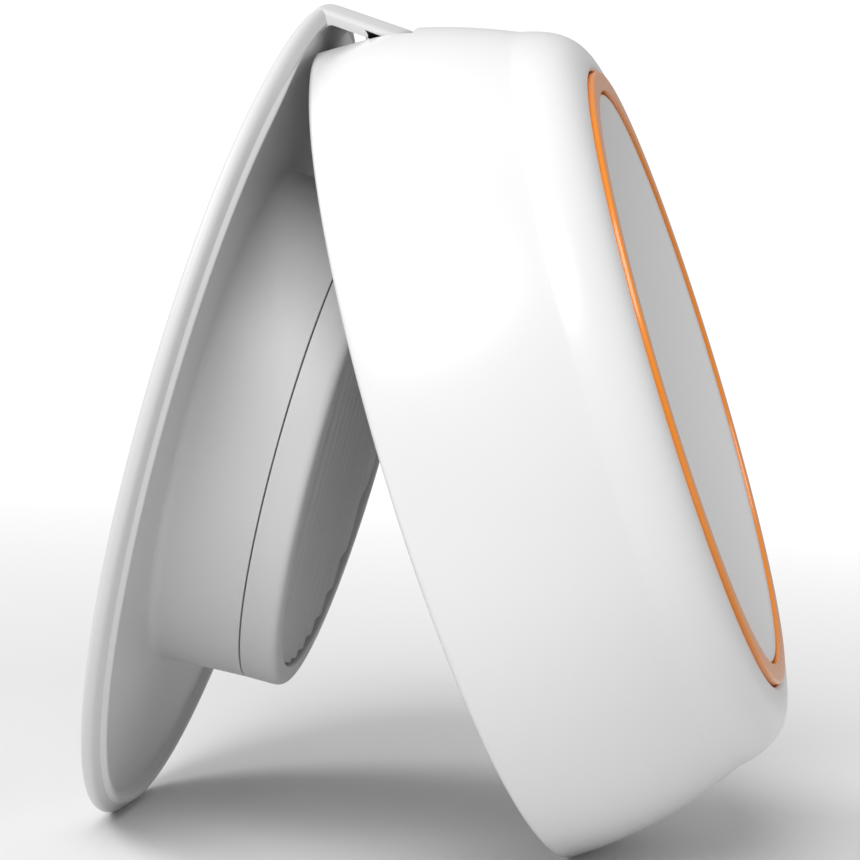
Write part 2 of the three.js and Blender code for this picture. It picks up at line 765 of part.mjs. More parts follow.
for (const [name, side] of [["left", -1], ["right", 1]]) {
  place(headGroup, `hinge_ear_${name}`, hingeEar(side), finishes.steel);
  const y0 = side > 0 ? armHalfWidth + sideClearance : -armHalfWidth - sideClearance - washerThick;
  const washer = axle(barrelRadius, y0, y0 + washerThick, pivotDepth, pivotHeight).subtract(
    axle(pinRadius + pinClearance, y0 - 1, y0 + 2, pivotDepth, pivotHeight),
  );
  place(headGroup, `friction_washer_${name}`, washer, finishes.brass);
  const screw = screwAlongX(0, 3.2, 0, 0).rotate([0, 90, 0]);
  place(
    headGroup,
    `ear_screw_${name}`,
    screw.translate([earScrewDepth, side * earScrewSide, bayBottom + gap + footThick + gap]),
    finishes.steel,
  );
}
const pinHalf = earOuter - 0.2;
place(headGroup, "hinge_pin", axle(pinRadius, -pinHalf, pinHalf, pivotDepth, pivotHeight), finishes.steel);

// Electronics in the head

function mainBoard() {
  const notches = postAngles.map((a) => {
    return rod(postRadius + gap, boardRear - 1, boardFront + 1, ...polar(postCircle, a));
  });
  const drop = (frontDrop * boardFront) / crownDepth;
  const radius = roomRadius(boardFront) - drop - boardClearance;
  return rod(radius, boardRear, boardFront, 0, 0, turn).subtract(join(...notches));
}
place(headGroup, "main_board", mainBoard(), finishes.board);

place(
  headGroup,
  "processor",
  box(processorRear, boardRear - gap, -8, 8, -4, 12),
  finishes.chip,
);

for (const [name, y] of [["shield_can_left", -14], ["shield_can_right", 14]]) {
  const can = box(boardFront + gap, spreaderRear - gap, y - 11, y + 11, -12, 16);
  place(headGroup, name, can, finishes.tin);
}
place(
  headGroup,
  "heat_spreader",
  rod(ringInner - 5, spreaderRear, spreaderFront, 0, 0, midTurn),
  finishes.aluminium,
);

antennaAngles.forEach((a, i) => {
  const panel = blockAt(a, antennaCircle, 17, 0.8, 7, boardRear - gap);
  place(headGroup, `antenna_${i + 1}`, panel, finishes.board);
});

for (const [name, angle] of Object.entries(jackAngles)) {
  const { across, radial, long } = jackSize;
  const body = blockAt(angle, jackCircle, across, radial, coverFace, coverFace + long);
  const socket = blockAt(angle, jackCircle - 0.4, 11.8, 8.6, 0, coverFace + 12);
  const latch = blockAt(angle, jackCircle + 4.2, 6.4, 2.4, 0, coverFace + 12);
  const foot = blockAt(angle, jackCircle - 2.4, across - 2, radial - 5, coverFace + 12, boardRear - gap);
  place(headGroup, name, body.subtract(join(socket, latch)).add(foot), finishes.tin);
}

function powerJack() {
  const { across, radial } = powerSize;
  const body = blockAt(powerJackAngle, jackCircle, across, radial, coverFace + 0.2, boardRear - gap);
  const socket = blockAt(powerJackAngle, jackCircle, across - 1, radial - 1, 0, coverFace + 7);
  const tongue = blockAt(powerJackAngle, jackCircle, 6.6, 0.8, coverFace + 1.2, coverFace + 8);
  return body.subtract(socket).add(tongue);
}
place(headGroup, "power_jack", powerJack(), finishes.tin);

for (const [name, angle] of Object.entries(buttonAngles)) {
  const [y, z] = polar(jackCircle, angle);
  const radius = buttonRadius[name];
  const cap = rod(radius, coverFace + buttonProud[name], coverInside + gap + buttonTravel, y, z, 20);
  const flange = rod(radius + 1.2, coverInside + gap, coverInside + 1.2, y, z, 20);
  place(headGroup, name, cap.add(flange), finishes.button);
  const tact = rod(radius + 0.6, coverInside + 2 * gap + 2 * buttonTravel, boardRear - gap, y, z, 12);
  place(headGroup, name.replace("button", "switch"), tact, finishes.chip);
}
place(
  headGroup,
  "status_light_pipe",
  rod(lightRadius, coverFace, boardRear - gap, ...polar(jackCircle, lightAngle), 12),
  finishes.lightGuide,
);

// Centre the object over the origin

model.updateMatrixWorld(true);
const extent = new THREE.Box3().setFromObject(model, true);
model.position.x = -(extent.min.x + extent.max.x) / 2;

export default model;
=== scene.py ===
import json
import math

import bmesh
import bpy
import numpy as np
from mathutils import Matrix, Vector


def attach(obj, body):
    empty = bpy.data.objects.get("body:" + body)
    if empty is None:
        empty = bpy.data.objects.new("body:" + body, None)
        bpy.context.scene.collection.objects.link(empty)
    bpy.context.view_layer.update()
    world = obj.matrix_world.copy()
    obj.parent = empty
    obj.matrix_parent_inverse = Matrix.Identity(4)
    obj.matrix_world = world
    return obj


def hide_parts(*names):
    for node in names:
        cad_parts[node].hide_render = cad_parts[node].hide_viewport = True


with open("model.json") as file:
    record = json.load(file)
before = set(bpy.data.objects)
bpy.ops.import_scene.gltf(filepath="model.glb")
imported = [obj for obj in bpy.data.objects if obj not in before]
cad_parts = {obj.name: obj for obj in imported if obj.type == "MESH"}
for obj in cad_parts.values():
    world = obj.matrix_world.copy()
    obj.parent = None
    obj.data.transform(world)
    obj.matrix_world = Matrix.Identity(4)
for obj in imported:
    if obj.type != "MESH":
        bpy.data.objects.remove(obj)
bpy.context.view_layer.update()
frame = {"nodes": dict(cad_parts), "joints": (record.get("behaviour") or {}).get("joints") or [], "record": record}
mm = 0.001
fitGap = 0.3  # mm left between separate pieces
print("frame loaded:", len(frame["nodes"]), "CAD nodes")


# Small mesh helpers.

def smoothStep(low, high, value):
    t = np.clip((np.asarray(value, float) - low) / (high - low), 0, 1)
    return t * t * (3 - 2 * t)


def softMin(a, b, blend):
    h = np.clip(0.5 + 0.5 * (b - a) / blend, 0, 1)
    return b + (a - b) * h - blend * h * (1 - h)


# Each disc's own axes, taken from a CAD node that is round about them.
# x runs forward along the disc's axis, z runs up the disc towards the hinge.
def discPlace(node, furthest, level):
    points = np.array([v.co[:] for v in frame["nodes"][node].data.vertices])
    points = np.unique(np.round(points, 6), axis=0)
    middle = points.mean(0)
    forward = np.linalg.svd(points - middle)[2][2]
    forward *= np.sign(forward[0])
    forward[1] = 0
    forward /= np.linalg.norm(forward)
    reach = (points - middle) @ forward
    edge = reach.max() if furthest == "front" else reach.min()
    origin = middle + forward * (edge - level * mm)
    x = Vector(forward)
    y = Vector((0, 1, 0))
    z = x.cross(y)
    place = Matrix((x, y, z)).transposed().to_4x4()
    place.translation = Vector((origin[0], 0, origin[2]))
    return place


def cleanMesh(mesh, outward=True):
    build = bmesh.new()
    build.from_mesh(mesh)
    bmesh.ops.remove_doubles(build, verts=build.verts, dist=2e-6)
    bmesh.ops.dissolve_degenerate(build, edges=build.edges, dist=1e-6)
    if outward:
        bmesh.ops.recalc_face_normals(build, faces=build.faces)
    build.to_mesh(mesh)
    build.free()


def makePiece(name, points, faces, place, material, sharp=35):
    mesh = bpy.data.meshes.new(name)
    mesh.from_pydata([tuple(p) for p in np.asarray(points, float) * mm], [], faces)
    cleanMesh(mesh)
    mesh.transform(place)
    piece = bpy.data.objects.new(name, mesh)
    bpy.context.scene.collection.objects.link(piece)
    finishSurface(piece, material, sharp)
    return piece


def finishSurface(piece, material, sharp=35):
    piece.data.shade_smooth()
    piece.data.set_sharp_from_angle(angle=math.radians(sharp))
    piece.data.materials.clear()
    piece.data.materials.append(material)


# Rounds the corners of an outline: each corner is (radius, x, rounding).
def softOutline(corners, closed=False, steps=6):
    out = []
    count = len(corners)
    for i, corner in enumerate(corners):
        here = np.array(corner[:2], float)
        rounding = corner[2] if len(corner) > 2 else 0
        if rounding <= 0 or (not closed and i in (0, count - 1)):
            out.append(here)
            continue
        before = np.array(corners[i - 1][:2], float) - here
        after = np.array(corners[(i + 1) % count][:2], float) - here
        reachBefore, reachAfter = np.linalg.norm(before), np.linalg.norm(after)
        u, v = before / reachBefore, after / reachAfter
        half = math.acos(np.clip(u @ v, -1, 1)) / 2
        if half > math.pi / 2 - 0.03:
            out.append(here)
            continue
        back = min(rounding / math.tan(half), 0.48 * reachBefore, 0.48 * reachAfter)
        start, end = here + u * back, here + v * back
        for k in range(steps + 1):
            t = k / steps
            out.append((1 - t) ** 2 * start + 2 * t * (1 - t) * here + t * t * end)
    return np.array(out)


# Spins an outline of (radius, x) points about the disc's axis.
def spunGrid(outline, steps, centre=(0, 0)):
    outline = np.asarray(outline, float)
    angles = np.linspace(0, 2 * math.pi, steps, endpoint=False)
    onAxis = outline[0][0] < 1e-6
    radius, depth = outline[:, 0], outline[:, 1]
    points = np.stack(
        [
            np.repeat(depth[None, :], steps, 0),
            np.sin(angles)[:, None] * radius[None, :] + centre[0],
            np.cos(angles)[:, None] * radius[None, :] + centre[1],
        ],
        axis=-1,
    ).reshape(-1, 3)
    count = len(outline)
    faces = []
    for i in range(steps):
        j = (i + 1) % steps
        for k in range(count - 1 if onAxis else count):
            m = (k + 1) % count
            face = [i * count + k, i * count + m, j * count + m, j * count + k]
            if onAxis and k == 0:
                face = face[:3]
            if onAxis and m == count - 1:
                face = [i * count + k, i * count + m, j * count + k]
            faces.append(face)
    if onAxis:  # the two poles are one point each
        faces = [
            [0 if p % count == 0 else count - 1 if p % count == count - 1 else p for p in f] for f in faces
        ]
    return points, faces


def spunPiece(name, outline, steps, place, material, centre=(0, 0), sharp=35):
    points, faces = spunGrid(outline, steps, centre)
    return makePiece(name, points, faces, place, material, sharp)


# A closed outline in one plane, given depth along the remaining axis with softened ends.
def prismGrid(outline, low, high, axes="xz", soften=0.0, steps=3):
    outline = np.asarray(outline, float)
    levels = [(low, 0), (high, 0)]
    if soften > 0:
        turns = np.linspace(0, math.pi / 2, steps + 1)
        levels = [(low + soften * (1 - math.cos(a)), soften * (1 - math.sin(a))) for a in turns]
        levels += [(low + high - at, inset) for at, inset in reversed(levels)]
    before = np.roll(outline, 1, 0) - outline
    after = np.roll(outline, -1, 0) - outline
    u = before / (np.linalg.norm(before, axis=1, keepdims=True) + 1e-12)
    v = after / (np.linalg.norm(after, axis=1, keepdims=True) + 1e-12)
    tangent = v - u
    inward = np.stack([-tangent[:, 1], tangent[:, 0]], 1)
    inward /= np.linalg.norm(inward, axis=1, keepdims=True) + 1e-12
    area = 0.5 * np.sum(
        outline[:, 0] * np.roll(outline[:, 1], -1) - np.roll(outline[:, 0], -1) * outline[:, 1]
    )
    inward *= 1 if area > 0 else -1
    points = []
    for at, inset in levels:
        ring = outline + inward * inset
        for a, b in ring:
            points.append({"xz": (a, at, b), "xy": (a, b, at), "yz": (at, a, b)}[axes])
    count = len(outline)
    faces = []
    for k in range(len(levels) - 1):
        for i in range(count):
            j = (i + 1) % count
            faces.append([k * count + i, k * count + j, (k + 1) * count + j, (k + 1) * count + i])
    faces.append(list(range(count))[::-1])
    faces.append([(len(levels) - 1) * count + i for i in range(count)])
    return np.array(points), faces


def roundedRectangle(width, height, rounding, steps=5, centre=(0, 0)):
    out = []
    for cx, cy, start in ((1, 1, 0), (-1, 1, 90), (-1, -1, 180), (1, -1, 270)):
        for k in range(steps + 1):
            a = math.radians(start + 90 * k / steps)
            out.append((
                centre[0] + cx * (width / 2 - rounding) + rounding * math.cos(a),
                centre[1] + cy * (height / 2 - rounding) + rounding * math.sin(a)
            ))
    return np.array(out)


def clockTurn(points, degrees):  # about the disc's axis, from the hinge
    a = math.radians(degrees)
    points = np.array(points, float)
    y, z = points[:, 1].copy(), points[:, 2].copy()
    points[:, 1] = y * math.cos(a) + z * math.sin(a)
    points[:, 2] = -y * math.sin(a) + z * math.cos(a)
    return points


def clockPlace(radius, degrees):
    a = math.radians(degrees)
    return radius * math.sin(a), radius * math.cos(a)


def joinGrids(*grids):
    points, faces, start = [], [], 0
    for gridPoints, gridFaces in grids:
        points.append(np.asarray(gridPoints, float))
        faces += [[p + start for p in f] for f in gridFaces]
        start += len(gridPoints)
    return np.vstack(points), faces


def cutAway(piece, cutters, place, sharp=35):
    for n, (points, faces) in enumerate(cutters):
        cutter = makePiece(f"cutter{n}", points, faces, place, piece.data.materials[0])
        cut = piece.modifiers.new("cut", "BOOLEAN")
        cut.operation, cut.solver, cut.object = "DIFFERENCE", "EXACT", cutter
        bpy.context.view_layer.update()
        mesh = bpy.data.meshes.new_from_object(piece.evaluated_get(bpy.context.evaluated_depsgraph_get()))
        piece.modifiers.clear()
        old = piece.data
        piece.data = mesh
        bpy.data.meshes.remove(old)
        bpy.data.objects.remove(cutter)
    cleanMesh(piece.data, outward=False)
    finishSurface(piece, piece.data.materials[0], sharp)


def keepAboveFloor(piece):
    for v in piece.data.vertices:
        v.co.z = max(v.co.z, 0.00001)
    piece.data.update()


def addPiece(piece, body, slot, *nodes):
    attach(piece, body)
    if nodes:
        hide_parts(*nodes)
    return piece


# Shader helpers.

class Wire:  # one socket, with arithmetic
    def __init__(self, graph, socket):
        self.graph, self.socket = graph, socket

    def maths(self, operation, *values):
        return self.graph.add("ShaderNodeMath", {"operation": operation}, *values)

    def __add__(self, other):
        return self.maths("ADD", self, other)

    def __radd__(self, other):
        return self.maths("ADD", other, self)

    def __sub__(self, other):
        return self.maths("SUBTRACT", self, other)

    def __rsub__(self, other):
        return self.maths("SUBTRACT", other, self)

    def __mul__(self, other):
        return self.maths("MULTIPLY", self, other)

    def __rmul__(self, other):
        return self.maths("MULTIPLY", other, self)

    def __truediv__(self, other):
        return self.maths("DIVIDE", self, other)

    def __pow__(self, other):
        return self.maths("POWER", self, other)


class Graph:
    def __init__(self, tree):
        self.nodes, self.links = tree.nodes, tree.links

    def add(self, kind, settings, *values, output=0, **named):
        node = self.nodes.new(kind)
        for key, value in settings.items():
            if key == "stops":
                ramp = node.color_ramp.elements
                while len(ramp) < len(value):
                    ramp.new(0.5)
                for stop, (at, shade) in zip(ramp, value):
                    stop.position, stop.color = at, (shade, shade, shade, 1)
            else:
                setattr(node, key, value)
        for key, value in [*enumerate(values), *named.items()]:
            socket = node.inputs[key]
            if isinstance(value, Wire):
                self.links.new(value.socket, socket)
            else:
                socket.default_value = value
        return Wire(self, node.outputs[output])

    def parts(self, vector):
        node = self.add("ShaderNodeSeparateXYZ", {}, vector).socket.node
        return [Wire(self, socket) for socket in node.outputs]


class Shaping(Graph):  # a Geometry Nodes tree with named inputs
    def __init__(self, name):
        self.group = bpy.data.node_groups.new(name, "GeometryNodeTree")
        super().__init__(self.group)
        for way in ("INPUT", "OUTPUT"):
            self.group.interface.new_socket("Geometry", in_out=way, socket_type="NodeSocketGeometry")
        self.given = self.nodes.new("NodeGroupInput")
        self.values = {}

    def size(self, name, value, kind="NodeSocketFloat"):
        socket = self.group.interface.new_socket(name, in_out="INPUT", socket_type=kind)
        self.values[socket.identifier] = value
        return Wire(self, self.given.outputs[name])

    # Runs the tree on a mesh of points and gives back a plain piece.
    def piece(self, name, points, geometry, place, material, sharp=35):
        real = self.add("GeometryNodeRealizeInstances", {}, geometry)
        painted = self.add("GeometryNodeSetMaterial", {}, real, Material=material)
        self.links.new(painted.socket, self.nodes.new("NodeGroupOutput").inputs[0])
        holder = bpy.data.objects.new(name, bpy.data.meshes.new(name))
        holder.data.from_pydata([tuple(np.array(p) * mm) for p in points], [], [])
        bpy.context.scene.collection.objects.link(holder)
        modifier = holder.modifiers.new("shaping", "NODES")
        modifier.node_group = self.group
        for key, value in self.values.items():
            modifier[key] = value
        bpy.context.view_layer.update()
        mesh = bpy.data.meshes.new_from_object(holder.evaluated_get(bpy.context.evaluated_depsgraph_get()))
        bpy.data.objects.remove(holder)
        cleanMesh(mesh)
        mesh.transform(place)
        made = bpy.data.objects.new(name, mesh)
        bpy.context.scene.collection.objects.link(made)
        finishSurface(made, material, sharp)
        return made


class Paint(Graph):
    def __init__(self, name):
        self.material = bpy.data.materials.new(name)
        self.material.use_nodes = True
        super().__init__(self.material.node_tree)
        self.shader = self.nodes["Principled BSDF"]
        self.place = self.add("ShaderNodeTexCoord", {}, output="Object")

    def noise(self, scale, detail=3.0, rough=0.5, stretch=None):
        where = self.place
        if stretch:
            where = self.add("ShaderNodeMapping", {}, self.place, **{"Scale": stretch})
        settings = {"noise_dimensions": "3D"}
        return self.add(
            "ShaderNodeTexNoise", settings, Vector=where, Scale=scale, Detail=detail, Roughness=rough
        )

    def mask(self, value, *stops):
        return self.add("ShaderNodeRGBToBW", {}, self.add("ShaderNodeValToRGB", {"stops": stops}, value))

    def mixColours(self, factor, first, second):
        node = self.nodes.new("ShaderNodeMix")
        node.data_type = "RGBA"
        for key, value in ((0, factor), (6, first), (7, second)):
            if isinstance(value, Wire):
                self.links.new(value.socket, node.inputs[key])
            else:
                node.inputs[key].default_value = (*value, 1)
        return Wire(self, node.outputs[2])

    def bump(self, height, distance, strength=1.0):
        return self.add("ShaderNodeBump", {}, Height=height, Distance=distance, Strength=strength)

    def feed(self, **values):
        for key, value in values.items():
            socket = self.shader.inputs[key.replace("_", " ")]
            if isinstance(value, Wire):
                self.links.new(value.socket, socket)
            else:
                socket.default_value = value
        return self.material


# Injection-moulded plastic: a slow drift of shade, a fine spark-eroded grain, a few rubbed spots.
def mouldedPlastic(name, look):
    paint = Paint(name)
    drift = paint.noise(look.get("driftScale", 18), 2.0)
    grain = paint.noise(look["grainScale"], 3.0, 0.6)
    rubbed = paint.mask(paint.noise(42, 4.0, 0.62), (0.52, 0.0), (0.74, 1.0))
    colour = paint.mixColours(drift, look["shade"], look["light"])
    rough = look["roughness"] + (grain - 0.5) * look["roughDrift"] + rubbed * look.get("rubbed", 0.03)
    normal = paint.bump(grain, look["grainDepth"], 1.0)
    return paint.feed(
        Base_Color=colour, Roughness=rough, Normal=normal,
        IOR=1.5, Coat_Weight=look.get("coat", 0.0), Coat_Roughness=look.get("coatRoughness", 0.1),
        Subsurface_Weight=look.get("milk", 0.0), Subsurface_Scale=0.0015,
    )


def plainMetal(name, look):
    paint = Paint(name)
    brushed = paint.noise(look["scale"], 3.0, 0.6, look.get("stretch", (1, 1, 1)))
    stain = paint.noise(70, 4.0, 0.65)
    colour = paint.mixColours(stain, look["shade"], look["light"])
    rough = look["roughness"] + (brushed - 0.5) * 0.16 + (stain - 0.5) * 0.1
    return paint.feed(
        Base_Color=colour, Roughness=rough, Normal=paint.bump(brushed, look.get("depth", 2e-6)),
        Metallic=1.0
    )


# Green solder mask with the faint relief of the tracks under it.
def circuitBoard(name, look):
    paint = Paint(name)
    settings = {"distance": "MANHATTAN", "feature": "F1"}
    tracks = paint.add("ShaderNodeTexVoronoi", settings, Vector=paint.place, Scale=look["trackScale"])
    lines = paint.mask(tracks, (0.28, 0.0), (0.36, 1.0), (0.62, 1.0), (0.7, 0.0))
    colour = paint.mixColours(lines, look["shade"], look["light"])
    rough = 0.34 + paint.noise(400) * 0.12
    return paint.feed(Base_Color=colour, Roughness=rough, Normal=paint.bump(lines, 2e-5))


print("making finishes")
finishes = {
    "glossWhite": mouldedPlastic("whiteGlossShell", {
        "shade": (0.84, 0.84, 0.845), "light": (0.88, 0.88, 0.88), "roughness": 0.3, "roughDrift": 0.06,
        "grainScale": 900, "grainDepth": 1.2e-6, "coat": 0.25, "coatRoughness": 0.12
    }),
    "satinWhite": mouldedPlastic("whiteSatinPlate", {
        "shade": (0.66, 0.66, 0.665), "light": (0.72, 0.72, 0.72), "roughness": 0.46, "roughDrift": 0.12,
        "grainScale": 2600, "grainDepth": 1.1e-5
    }),
    "orange": mouldedPlastic("orangeGlossRing", {
        "shade": (0.86, 0.25, 0.012), "light": (0.95, 0.31, 0.02), "roughness": 0.28, "roughDrift": 0.05,
        "grainScale": 1200, "grainDepth": 3e-7, "rubbed": 0.01, "coat": 0.4, "coatRoughness": 0.08,
        "driftScale": 40
    }),
    "padGrey": mouldedPlastic("greyRibbedPad", {
        "shade": (0.66, 0.66, 0.665), "light": (0.72, 0.72, 0.72), "roughness": 0.4, "roughDrift": 0.1,
        "grainScale": 2200, "grainDepth": 4e-6
    }),
    "rubber": mouldedPlastic("darkRubberPad", {
        "shade": (0.028, 0.028, 0.03), "light": (0.05, 0.05, 0.052), "roughness": 0.8, "roughDrift": 0.2,
        "grainScale": 1500, "grainDepth": 2.2e-5, "rubbed": 0.08
    }),
    "coverGrey": mouldedPlastic("greySatinCover", {
        "shade": (0.58, 0.58, 0.585), "light": (0.65, 0.65, 0.65), "roughness": 0.5, "roughDrift": 0.14,
        "grainScale": 2400, "grainDepth": 8e-6
    }),
    "button": mouldedPlastic("greyButton", {
        "shade": (0.36, 0.37, 0.38), "light": (0.44, 0.45, 0.46), "roughness": 0.4, "roughDrift": 0.1,
        "grainScale": 2600, "grainDepth": 4e-6
    }),
    "black": mouldedPlastic("blackMoulding", {
        "shade": (0.012, 0.012, 0.013), "light": (0.028, 0.028, 0.03), "roughness": 0.42,
        "roughDrift": 0.15, "grainScale": 2800, "grainDepth": 6e-6
    }),
    "lightGuide": mouldedPlastic("milkyLightGuide", {
        "shade": (0.86, 0.84, 0.78), "light": (0.93, 0.92, 0.88), "roughness": 0.25, "roughDrift": 0.06,
        "grainScale": 1200, "grainDepth": 1e-6, "milk": 0.3
    }),
    "cell": mouldedPlastic("blueShrinkSleeve", {
        "shade": (0.04, 0.1, 0.2), "light": (0.06, 0.14, 0.27), "roughness": 0.3, "roughDrift": 0.14,
        "grainScale": 500, "grainDepth": 1.5e-5, "coat": 0.3
    }),
    "steel": plainMetal("zincSteel", {
        "shade": (0.52, 0.53, 0.55), "light": (0.66, 0.67, 0.68), "roughness": 0.3, "scale": 1800
    }),
    "brass": plainMetal("washerBrass", {
        "shade": (0.6, 0.4, 0.14), "light": (0.75, 0.55, 0.24), "roughness": 0.34, "scale": 1500
    }),
    "tin": plainMetal("tinPlate", {
        "shade": (0.6, 0.61, 0.62), "light": (0.74, 0.75, 0.75), "roughness": 0.26, "scale": 900,
        "stretch": (1, 6, 1)
    }),
    "gold": plainMetal("goldContacts", {
        "shade": (0.85, 0.6, 0.2), "light": (0.95, 0.72, 0.3), "roughness": 0.22, "scale": 1500
    }),
    "aluminium": plainMetal("bareAluminium", {
        "shade": (0.58, 0.59, 0.6), "light": (0.7, 0.71, 0.72), "roughness": 0.38, "scale": 1200,
        "stretch": (1, 8, 1)
    }),
    "board": circuitBoard("greenBoard", {
        "shade": (0.012, 0.1, 0.045), "light": (0.03, 0.18, 0.08), "trackScale": 260
    }),
}

# Nodes that stay as the CAD made them take a finish by their record slot.
slotFinish = {
    "gloss_white": "glossWhite", "satin_white": "satinWhite", "orange": "orange", "pad_grey": "padGrey",
    "pad_rubber": "rubber", "cover_grey": "coverGrey", "steel": "steel", "washer_brass": "brass",
    "circuit_board": "board", "chip_black": "black", "tin_plate": "tin", "aluminium": "aluminium",
    "light_guide": "lightGuide", "cell_wrap": "cell", "button_grey": "button",
}
for part in frame["record"]["subparts"]:
    node = frame["nodes"][part["node"]]
    node.data.materials.clear()
    node.data.materials.append(finishes[slotFinish[part["material_slot"]]])


# Where the two discs stand.

head = {
    "rearRadius": 60.2, "taper": 10.4, "power": 1.88, "bandDepth": 26.5, "depth": 35.2,
    "edgePull": 1.5, "landPull": 7.0, "frontDrop": 0.7, "wall": 2.9, "rimRound": 0.9,
    "easeDepth": 1.0, "easeRadius": 80, "easeSlope": 2.1, "easeBlend": 0.5, "steps": 320,
    "rimSteps": 6, "bandSteps": 26, "edgeSteps": 24,
}
ring = {"outer": 44.85, "inner": 42.0, "crest": 35.85, "seat": 33.3, "edge": 0.45, "steps": 224}
dish = {"rim": 41.7, "depth": 6.35, "wall": 1.8, "lip": 35.55, "steps": 200}
plate = {
    "radius": 59.4, "back": 0.0, "inner": 2.0, "seat": 2.6, "lipTop": 3.4, "lipOuter": 57.8, "lipInner": 56.5,
    "lipBreak": 24, "lipFade": 13.0, "browRadius": 55.3, "browRise": 5, "steps": 320,
}
pod = {
    "radius": 36.0, "draft": 0.65, "split": 14.9, "height": 20.3, "wall": 2.4, "round": 1.9, "recess": 32.2,
    "recessDepth": 1.9, "steps": 224
}
pad = {"radius": 46, "thick": 1.6, "proud": 1.1, "steps": 160}

headPlace = discPlace("accent_ring", "front", ring["crest"])
platePlace = discPlace("rubber_pad", "back", plate["back"] - pad["proud"])
for name, place in (("head", headPlace), ("plate", platePlace)):
    print(name, "leans", round(math.degrees(math.asin(place[2][0])), 2), "degrees")


# Head shell.

def bandRadius(x):
    return head["rearRadius"] - head["taper"] * np.power(np.maximum(x, 0) / 35, head["power"])


def shellOutline():
    groove = ring["outer"] + fitGap
    land = groove + 0.8
    rear = head["rearRadius"]
    points = [(rear - head["rimRound"], 0.0)]
    for k in range(1, head["rimSteps"] + 1):
        a = math.pi / 2 * k / head["rimSteps"]
        points.append((
            rear - 0.05 - head["rimRound"] * 0.95 * (1 - math.sin(a)), head["rimRound"] * (1 - math.cos(a))
        ))
    for x in np.linspace(head["rimRound"] + 0.8, head["bandDepth"], head["bandSteps"]):
        points.append((float(bandRadius(x)), float(x)))
    corner = np.array([float(bandRadius(head["bandDepth"])), head["bandDepth"]])
    along = corner - np.array([float(bandRadius(head["bandDepth"] - 0.1)), head["bandDepth"] - 0.1])
    pull = corner + along / np.linalg.norm(along) * head["edgePull"]
    landPull = np.array([land + head["landPull"], head["depth"]])
    landEnd = np.array([land, head["depth"]])
    for k in range(1, head["edgeSteps"] + 1):
        t = k / head["edgeSteps"]
        points.append(tuple(
            (1 - t) ** 3 * corner + 3 * (1 - t) ** 2 * t * pull + 3 * (1 - t) * t * t * landPull
            + t ** 3 * landEnd
        ))
    for k in range(1, 6):  # the land rolls into the ring's groove
        a = math.pi / 2 * k / 5
        points.append((groove + 0.8 * (1 - math.sin(a)), head["depth"] - 0.45 * (1 - math.cos(a))))
    inner = lambda x: float(bandRadius(x)) - head["wall"]
    points += [
        (groove, 33.0), (ring["outer"] - 1.6, 33.0), (ring["outer"] - 1.6, 31.4),
        (ring["outer"] + 1.5, 31.4)
    ]
    points += [
        (inner(26.5) - 0.6, 26.5), (inner(23), 23.0), (inner(18), 18.0), (inner(13), 13.0), (inner(0), 6.0),
        (inner(0), 0.35)
    ]
    points += [(inner(0) + 0.12, 0.1), (inner(0) + 0.35, 0.0)]
    return points


def shapeShell(points, outerCount, count):
    x, y, z = points[:, 0], points[:, 1], points[:, 2].copy()
    reach = np.hypot(y, z)
    z = z - head["frontDrop"] / 35 * x * smoothStep(45.3, 48, reach)
    slope = math.tan(math.radians(head["easeSlope"]))
    roof = head["rearRadius"] - head["easeDepth"] - head["easeRadius"] - slope * x
    roof = roof + np.sqrt(head["easeRadius"] ** 2 - y ** 2)
    outer = np.tile(np.arange(count) < outerCount, len(points) // count)
    eased = softMin(z, roof, head["easeBlend"])
    z = np.where(outer & (z > 20), eased, z)
    return np.stack([x, y, z], 1)


outline = shellOutline()
outerCount = head["rimSteps"] + head["bandSteps"] + head["edgeSteps"] + 2  # with both end points
points, faces = spunGrid(outline, head["steps"])
points = shapeShell(points, outerCount, len(outline))
shell = makePiece("headShell", points, faces, headPlace, finishes["glossWhite"], 40)

arm = {"radius": 60.4, "taper": 0.065, "thick": 1.6, "half": 10.0, "reach": 13.2, "edge": 0.9}
slotSize = {"rear": 3.4, "front": 13.6, "half": 10.6, "corner": 0.9}


def channelGrid():  # a curved floor that the folded arm lies on
    columns = np.linspace(-slotSize["half"], slotSize["half"], 33)
    rows = np.linspace(-2, slotSize["front"], 9)
    floorAt = lambda x, y: np.sqrt(
        (arm["radius"] - arm["taper"] * (x + 4) - arm["thick"] + 0.2) ** 2 - y ** 2
    )
    low = [(x, y, floorAt(x, y)) for x in rows for y in columns]
    high = [(x, y, 75.0) for x in rows for y in columns]
    points = np.array(low + high)
    n, across = len(low), len(columns)
    faces = []
    for i in range(len(rows) - 1):
        for j in range(across - 1):
            a = i * across + j
            faces.append([a, a + 1, a + across + 1, a + across])
            faces.append([n + a + across, n + a + across + 1, n + a + 1, n + a])
    border = [j for j in range(across)] + [i * across + across - 1 for i in range(1, len(rows))]
    border += [(len(rows) - 1) * across + j for j in range(across - 2, -1, -1)]
    border += [i * across for i in range(len(rows) - 2, 0, -1)]
    for a, b in zip(border, border[1:] + border[:1]):
        faces.append([a, n + a, n + b, b])
    return points, faces


slotOutline = roundedRectangle(
    slotSize["front"] - slotSize["rear"], 2 * slotSize["half"], slotSize["corner"],
    centre=((slotSize["front"] + slotSize["rear"]) / 2, 0)
)
cutAway(shell, [channelGrid(), prismGrid(slotOutline, 50, 72, "xy")], headPlace, 40)
keepAboveFloor(shell)
addPiece(shell, "head", "gloss_white", "front_shell")
print("head shell done")


# Ring and dish.

def ringOutline():  # a flat face with softened edges
    edge = ring["edge"]
    return softOutline([
        (ring["outer"], ring["seat"], 0.2), (ring["outer"], ring["crest"], edge),
        (ring["inner"], ring["crest"], edge * 0.6), (ring["inner"], ring["seat"], 0.2),
    ], closed=True, steps=6)


